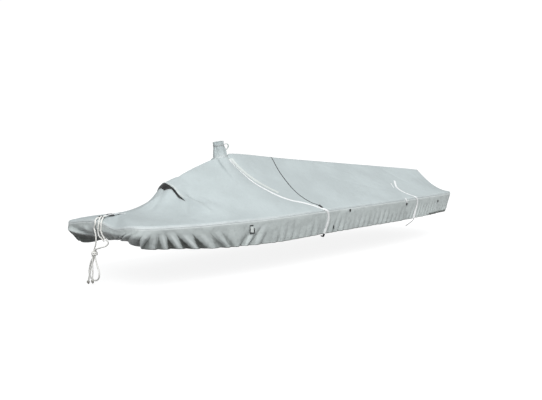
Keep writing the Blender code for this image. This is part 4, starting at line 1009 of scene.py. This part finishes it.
# ---------------- settings
class CoverSettings(bpy.types.PropertyGroup):
    """The cloth's own sizes."""

    thickness: FloatProperty(name="Cloth Thickness", description="Thickness of the canvas",
                             default=0.0012, min=0.0005, max=0.003, unit="LENGTH",
                             subtype="DISTANCE")
    spacing: FloatProperty(name="Column Spacing", description="Spacing of the tent's columns",
                           default=0.014, min=0.008, max=0.05, unit="LENGTH",
                           subtype="DISTANCE")
    tent_rows: IntProperty(name="Tent Rows", description="Rows from the ridge to the rail",
                           default=54, min=16, max=90)
    skirt_rows: IntProperty(name="Skirt Rows", description="Rows from the seam to the hem",
                            default=24, min=6, max=40)
    between: IntProperty(name="Columns Between Folds",
                         description="Columns of the skirt from one fold line to the next",
                         default=6, min=2, max=12)
    fold_gain: FloatProperty(name="Fold Depth", description="Depth of the skirt's folds",
                             default=1.60, min=0.5, max=2.5)
    relief: FloatProperty(name="Crease Depth", description="Depth of the tent's fine creases",
                          default=1.0, min=0.0, max=2.0)


class StageSettings(bpy.types.PropertyGroup):
    """The camera and the lights."""

    lens: FloatProperty(name="Lens", description="Focal length on a 36 mm sensor",
                        default=43.22, min=20.0, max=120.0)
    azimuth: FloatProperty(name="Azimuth", description="The camera's direction in plan",
                           default=math.radians(-41.42), subtype="ANGLE")
    elevation: FloatProperty(name="Elevation", description="How far the camera looks down",
                             default=math.radians(4.80), subtype="ANGLE")
    roll: FloatProperty(name="Roll", description="The camera's tilt about its own axis",
                        default=math.radians(-1.62), subtype="ANGLE")
    key: FloatProperty(name="Key Light", description="Strength of the soft light abeam",
                       default=2.0, min=0.0)
    softness: FloatProperty(name="Softness", description="Angle that the key light fills",
                            default=math.radians(38.0), subtype="ANGLE")
    zenith: FloatProperty(name="Zenith", description="Strength of the sky overhead",
                          default=0.50, min=0.0)
    beam: FloatProperty(name="Beam", description="Strength of the sky low on the port side",
                        default=0.64, min=0.0)


# ---------------- pieces
class COVER_OT_stage(bpy.types.Operator):
    """Sets up the camera, the floor and the lights"""

    bl_idname = "cover.stage"
    bl_label = "Stage"

    def execute(self, context):
        """Makes the camera at the photograph's angle, a pale floor and soft lights."""
        settings = context.scene.cover_stage
        a, e = settings.azimuth, settings.elevation
        back = Vector((math.sin(a) * math.cos(e), -math.cos(a) * math.cos(e), math.sin(e)))
        right = Vector((math.cos(a), math.sin(a), 0.0))
        up = back.cross(right)
        turn = settings.roll
        right, up = (right * math.cos(turn) + up * math.sin(turn),
                     up * math.cos(turn) - right * math.sin(turn))
        data = bpy.data.cameras.new("photo_camera")
        data.lens = settings.lens
        data.sensor_width = 36.0
        data.sensor_fit = "HORIZONTAL"
        data.clip_end = 200.0
        camera = new_object("photo_camera", data)
        turned = Matrix((right, up, back)).transposed().to_4x4()
        camera.matrix_world = Matrix.Translation(Vector(CAMERA_AT) - Vector(HOLD_POINT)) @ turned
        context.scene.camera = camera
        context.scene.view_settings.view_transform = "Standard"
        self.floor()
        self.key(settings.softness, settings.key)
        self.sky(context, settings.zenith, settings.beam)
        return {"FINISHED"}

    def floor(self):
        """A wide pale floor just under the rope's tails."""
        mesh = bpy.data.meshes.new("floor")
        low = CAD_BOX[0].z - FLOOR_GAP
        corners = ((-1, -1), (1, -1), (1, 1), (-1, 1))
        mesh.from_pydata([(x * FLOOR_HALF, y * FLOOR_HALF, low) for x, y in corners], [],
                         [(0, 1, 2, 3)])
        nodes = Nodes(bpy.data.materials.new("pale_floor"))
        cloud = nodes.noise(nodes.add("TexCoord", output="Object"), 0.8, 3.0)
        mesh.materials.append(nodes.finish({
            "Base Color": nodes.mix(cloud, (0.20, 0.20, 0.20), (0.23, 0.23, 0.23)),
            "Roughness": 0.9, "Emission Color": (1.0, 1.0, 1.0), "Emission Strength": 0.88}))
        floor = new_object("floor", mesh)
        floor.visible_diffuse = False

    def key(self, softness, strength):
        """One very soft light from abeam and above."""
        data = bpy.data.lights.new("key_light", "SUN")
        data.angle = softness
        data.energy = strength
        made = new_object("key_light", data)
        made.rotation_mode = "QUATERNION"
        made.rotation_quaternion = Vector(KEY_TOWARD).to_track_quat("Z", "Y")

    def sky(self, context, zenith, beam):
        """White behind the object; round it a sky that is bright overhead and dim ahead."""
        world = bpy.data.worlds.new("studio")
        context.scene.world = world
        nodes = Nodes(world)
        nodes.tree.nodes.clear()
        aft, starboard, up = nodes.add(
            "SeparateXYZ", {0: nodes.add("TexCoord", output="Generated")}, None)
        toward = nodes.math("ADD", nodes.math("MULTIPLY", starboard, -0.8),
                            nodes.math("MULTIPLY", aft, -0.6))
        abeam = nodes.math("MULTIPLY", nodes.span(toward, 0.0, 0.90, 0.0, beam),
                           nodes.span(up, -0.30, 0.15))
        light = nodes.math("ADD", nodes.span(up, -0.05, 0.80, 0.0, zenith), abeam)
        lit = nodes.add("Background", {"Color": (0.95, 0.98, 1.0),
                                       "Strength": nodes.math("ADD", light, 0.03)})
        seen = nodes.add("Background", {"Color": (1.0, 1.0, 1.0), "Strength": 1.05})
        either = nodes.add("MixShader", {0: nodes.add("LightPath", output="Is Camera Ray"),
                                         1: lit, 2: seen})
        nodes.add("OutputWorld", {"Surface": either}, None)


class COVER_OT_tent(bpy.types.Operator):
    """Makes the four panels that hang from the ridge"""

    bl_idname = "cover.tent"
    bl_label = "Tent Panels"

    # Runs of sections: panel, first and last, whether above the vent's slit, and sides.
    runs = (
        ("panel_front", "bow centre", "vent mouth", False, (PORT, STARBOARD)),
        ("panel_front", "vent mouth", "closure", True, (PORT, STARBOARD)),
        ("panel_port", "closure", "stern corner", True, (PORT,)),
        ("panel_starboard", "closure", "stern corner", True, (STARBOARD,)),
        ("panel_stern", "stern corner", "transom centre", True, (PORT, STARBOARD)),
    )
    # Each panel's flat width, length and area.
    flats = {"panel_front": (2.05, 2.30, 3.20), "panel_port": (1.05, 3.40, 2.95),
             "panel_starboard": (1.05, 3.40, 2.95), "panel_stern": (1.20, 0.34, 0.184)}

    def execute(self, context):
        """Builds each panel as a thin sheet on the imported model's folds."""
        settings = context.scene.cover
        rows = np.linspace(0.0, 1.0, settings.tent_rows) ** 1.06
        grids = {}
        for name, first, last, upper, sides in self.runs:
            low, high = distance_of(first), distance_of(last)
            count = max(int((high - low) / settings.spacing), 8)
            at = np.linspace(low, high, count + 1)
            raised = upper and name == "panel_front"
            for side in sides:
                points = tent_grid(side, at, rows, 5, upper, settings.relief)
                if raised:
                    relax(points, at, distance_of("collar front") + RELAX_CENTRE, RELAX_REACH,
                          RELAX_PASSES)
                steps = np.linalg.norm(np.diff(points, axis=1), axis=2)
                down = np.concatenate([np.zeros((len(at), 1)), np.cumsum(steps, 1)], 1)
                lie = np.stack([np.repeat(at[:, None], down.shape[1], 1),
                                down[:, -1:] - down], -1)
                # Painted light: a pale band at the vent's mouth on the starboard side, inside and
                # out.
                mouth_light = 0.6 if raised and side == STARBOARD else 0.0
                mouth_light = mouth_light * np.exp(-((at - distance_of("vent mouth")) / 0.05) ** 2)
                grids.setdefault(name, []).append(
                    (side, points, lie, np.zeros(down.shape) - mouth_light[:, None]))
        for name, found in grids.items():
            made = cloth_piece(name, found, "tent", settings.thickness)
        return {"FINISHED"}


class COVER_OT_skirt(bpy.types.Operator):
    """Makes the gathered skirts"""

    bl_idname = "cover.skirt"
    bl_label = "Skirts"

    def execute(self, context):
        """Builds each side's skirt with its gathered folds."""
        settings = context.scene.cover
        rows = np.linspace(0.0, 1.0, settings.skirt_rows)
        for side, word in SIDES:
            points, at, painted_light = skirt_grid(side, settings.between, rows, settings.fold_gain)
            depth = section(at.ravel())["drop"].reshape(at.shape) * rows[None, :]
            lie = np.stack([at, depth[:, -1:] - depth], -1)
            made = cloth_piece("skirt_" + word, [(side, points, lie, painted_light)], "skirt",
                               settings.thickness)
        return {"FINISHED"}


class COVER_OT_collar(bpy.types.Operator):
    """Makes the gathered neck round the mast hole"""

    bl_idname = "cover.collar"
    bl_label = "Mast Collar"

    def execute(self, context):
        """Builds the neck, its lashing and its loop."""
        table = np.array(COLLAR)
        levels = read_curve(table[:, 0], table,
                            np.linspace(table[0, 0], table[-1, 0], COLLAR_LEVELS))
        neck = self.rings("mast_collar_cloth", levels, context.scene.cover.thickness,
                          surface("tent"))
        stand_for(neck, "mast_collar")
        band = [(height, front - LASHING_CLEAR, aft + LASHING_CLEAR, half + LASHING_CLEAR, 0.0)
                for height, front, aft, half in LASHING]
        lashing = self.rings("collar_lashing_band", band, LASHING_THICK, surface("lashing"))
        stand_for(lashing, "collar_lashing")
        loop = free_band("collar_loop_band", COLLAR_LOOP, Vector((0.35, 0.94, 0.0)), 0.028,
                         0.007, surface("flap"))
        stand_for(loop, "collar_loop")
        return {"FINISHED"}

    def rings(self, name, levels, inset, material):
        """A closed band round the mast hole, from rows of ring sizes."""
        rings = []
        for height, front, aft, half, gather in levels:
            deep = gather * COLLAR_GATHER
            ring = []
            for index in range(COLLAR_SIDES):
                turn = 2 * math.pi * index / COLLAR_SIDES
                lobe = 1 + deep * math.cos(turn * 8 + 0.6) + deep * 0.6 * math.cos(turn * 5)
                lobe += deep * 0.5 * math.cos(turn * 17 + 40 * height)
                x = (front + aft) / 2 - (aft - front) / 2 * math.cos(turn) * lobe
                slope = (x - front) / (aft - front) * COLLAR_SLOPE
                ring.append((x, half * math.sin(turn) * lobe, COLLAR_FOOT + height + slope))
            rings.append(np.array(ring))
        for ring in rings[::-1]:
            away = (ring.mean(0) - ring) * (1, 1, 0)
            rings.append(ring + away / np.linalg.norm(away, axis=1)[:, None] * inset)
        count = len(rings) * COLLAR_SIDES
        spots = [(index * 0.005, level * 0.006) for level in range(len(rings))
                 for index in range(COLLAR_SIDES)]
        faces = [(a + i, a + (i + 1) % COLLAR_SIDES,
                  (a + COLLAR_SIDES) % count + (i + 1) % COLLAR_SIDES,
                  (a + COLLAR_SIDES) % count + i)
                 for a in range(0, count, COLLAR_SIDES) for i in range(COLLAR_SIDES)]
        points = np.concatenate(rings) - HOLD_POINT
        return body_from(name, points.tolist(), faces, spots, material)


class COVER_OT_bands(bpy.types.Operator):
    """Makes the flaps, straps, tapes and bindings that lie on the cloth"""

    bl_idname = "cover.bands"
    bl_label = "Bands"

    def band(self, node, slot, *args, **settings):
        """One laid band that stands for its node."""
        return stand_for(laid_band(node + "_band", *args, **settings), node)

    def execute(self, context):
        """Lays every band over the cloth's own folds."""
        mouth = distance_of("vent mouth")
        shares = [0.01 + 0.325 * step / 8 for step in range(9)]
        port, starboard = (tent_grid(side, np.array([mouth + 0.012]), shares, 1)[0][:9]
                           for side in (PORT, STARBOARD))
        self.band("hood_binding", "flap_cloth", [*port[::-1], *starboard[1:]], 0.012, 0.0014,
                  surface("flap"), reach=1)
        closure = np.array([distance_of("closure")])
        for side, word in SIDES:
            flap = tent_grid(side, closure, FLAP_ROWS, 1)[0][:len(FLAP_ROWS)]
            self.band("closure_flap_" + word, "flap_cloth", flap + (FLAP_SHIFT, 0, 0),
                      FLAP_WIDTH, 0.0016, surface("flap"), onto=True, across=6)
            self.band("shroud_patch_" + word, "dark_webbing", mirrored(PATCH, side), 0.034,
                      0.0016, surface("dark"), onto=True)
            self.band("becket_" + word, "webbing", mirrored(BECKET, side), 0.010, 0.002,
                      surface("webbing"))
        loop = laid_band("button_loop_band", BUTTON_LOOP, 0.020, 0.002, surface("webbing"))
        over = mirrored(RIDGE_BAND_HALF, STARBOARD)[::-1] + mirrored(RIDGE_BAND_HALF, PORT)[1:]
        self.band("ridge_band", "dark_webbing", over, 0.009, 0.0018, surface("dark"),
                  onto=True, across=2)
        for side, word in SIDES:
            for name, width, route in STRAPS:
                self.band("strap_%s_%s" % (name, word), "webbing", mirrored(route, side),
                          width + STRAP_EXTRA, 0.0018, surface("webbing"))
        for name, width, route in BOW_TABS:
            high = [(x, y, z + (TAB_RISE if index == 1 else 0.002))
                    for index, (x, y, z) in enumerate(route)]
            made = free_band("bow_tab_%s_band" % name, high, Vector((1.0, 0.0, 0.0)), width,
                             0.0060, surface("dark"))
            stand_for(made, "bow_tab_" + name)
        tie = free_band("bow_tie_band", BOW_TIE, Vector((0.0, 1.0, 0.0)), 0.020, 0.003,
                        surface("webbing"))
        return {"FINISHED"}


class COVER_OT_ropes(bpy.types.Operator):
    """Makes the bow's ropes and their knot"""

    bl_idname = "cover.ropes"
    bl_label = "Bow Ropes"

    def end_knot(self, name, path):
        """A small tight knot, two turns round a tail's end."""
        along = (path[-1] - path[-4]).normalized()
        side = along.orthogonal().normalized()
        other = along.cross(side)
        turns = []
        for step in range(25):
            turn = 2 * math.pi * step / 12
            turns.append(path[-1] + (side * math.cos(turn) + other * math.sin(turn)) * ROPE * 0.6
                         + along * ROPE * (0.07 * step - 1.0))
        return rope_body("end_knot_" + name, turns, ROPE * 0.8, surface("rope_end"))

    def execute(self, context):
        for name, route in ROPES:
            path = rope_path(route, ROPE)
            made = rope_body("rope_" + name, path, ROPE, surface("rope"))
            stand_for(made, "bow_rope_" + name)
            knots = [self.end_knot(name, path)] if name in KNOTTED else []
        turns = []
        for step in range(int(KNOT_TURNS * 24) + 1):
            turn = 2 * math.pi * step / 24
            turns.append((KNOT_CENTRE[0] + KNOT_RADIUS * math.cos(turn),
                          KNOT_CENTRE[1] + KNOT_RADIUS * math.sin(turn),
                          KNOT_CENTRE[2] - KNOT_PITCH * step / 24))
        path = rope_path(turns, KNOT_ROPE, push=False)
        knot = rope_body("rope_knot", path, KNOT_ROPE, surface("rope"))
        stand_for(knot, "bow_knot")
        return {"FINISHED"}


class COVER_OT_fittings(bpy.types.Operator):
    """Makes the small fittings on the skirt"""

    bl_idname = "cover.fittings"
    bl_label = "Fittings"

    def execute(self, context):
        """Seats each fitting on the skirt's folds, with rounded edges."""
        for name, sides, spot, outline, thickness in FITTINGS:
            for side, word in SIDES:
                if sides in ("both", word):
                    node = "%s_%s" % (name, word)
                    kind, slot = (("flap", "webbing") if name == "ring_pad"
                                  else ("black", "black_plastic"))
                    made = self.plate(node + "_plate", outline,
                                      Vector((spot[0], -side * spot[1], spot[2])), side,
                                      thickness, surface(kind))
                    stand_for(made, node)
        for node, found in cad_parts.items():
            if node.startswith("hook_"):
                for kept in found.material_slots:
                    kept.material = surface("black")
        return {"FINISHED"}

    def plate(self, name, outline, spot, side, thickness, material):
        """A small plate that stands on the skirt."""
        base, normal = LAID["tree"].find_nearest(spot - Vector(HOLD_POINT))[:2]
        outward = Vector((normal.x, normal.y, 0.0)).normalized()
        along = Vector((-outward.y, outward.x, 0.0)) * -side
        reach = 0.0
        for a, b in outline:
            corner = base + along * a + Vector((0.0, 0.0, b))
            hit = LAID["tree"].ray_cast(corner + outward * 0.05, -outward, 0.1)[0]
            if hit:
                reach = max(reach, (hit - base).dot(outward))
        points = [base + along * a + Vector((0.0, 0.0, b)) + outward * (reach * 0.6 + level)
                  for level in (0.0005, 0.0005 + thickness) for a, b in outline]
        count = len(outline)
        faces = [tuple(range(count)), tuple(reversed(range(count, 2 * count)))]
        faces += [(i, (i + 1) % count, (i + 1) % count + count, i + count)
                  for i in range(count)]
        spots = [(a, b) for _ in range(2) for a, b in outline]
        made = body_from(name, points, faces, spots, material, sharp=0.9)
        bevel = made.modifiers.new("Edges", "BEVEL")
        bevel.width = min(thickness * 0.3, 0.001)
        bevel.segments = 2
        bevel.limit_method = "ANGLE"
        return made


class COVER_PT_panel(bpy.types.Panel):
    """The cover's sizes and its pieces."""

    bl_label = "Boat Cover"
    bl_idname = "COVER_PT_panel"
    bl_space_type = "VIEW_3D"
    bl_region_type = "UI"
    bl_category = "Cover"

    def draw(self, context):
        """Lists the settings and the operators."""
        for group in (context.scene.cover, context.scene.cover_stage):
            for name in group.bl_rna.properties.keys():
                if name not in ("rna_type", "name"):
                    self.layout.prop(group, name)
        for piece in PIECES:
            self.layout.operator(piece.bl_idname)


PIECES = (COVER_OT_stage, COVER_OT_tent, COVER_OT_skirt, COVER_OT_collar, COVER_OT_bands,
          COVER_OT_ropes, COVER_OT_fittings)
CLASSES = (CoverSettings, StageSettings, *PIECES, COVER_PT_panel)


def register():
    """Adds the cover's settings, operators and panel."""
    for kind in CLASSES:
        bpy.utils.register_class(kind)
    bpy.types.Scene.cover = PointerProperty(type=CoverSettings)
    bpy.types.Scene.cover_stage = PointerProperty(type=StageSettings)


def unregister():
    """Takes them away again."""
    del bpy.types.Scene.cover
    del bpy.types.Scene.cover_stage
    for kind in reversed(CLASSES):
        bpy.utils.unregister_class(kind)


def main():
    """Makes every piece in order."""
    register()
    for piece in PIECES:
        group, name = piece.bl_idname.split(".")
        getattr(getattr(bpy.ops, group), name)()


if __name__ == "__main__":
    main()
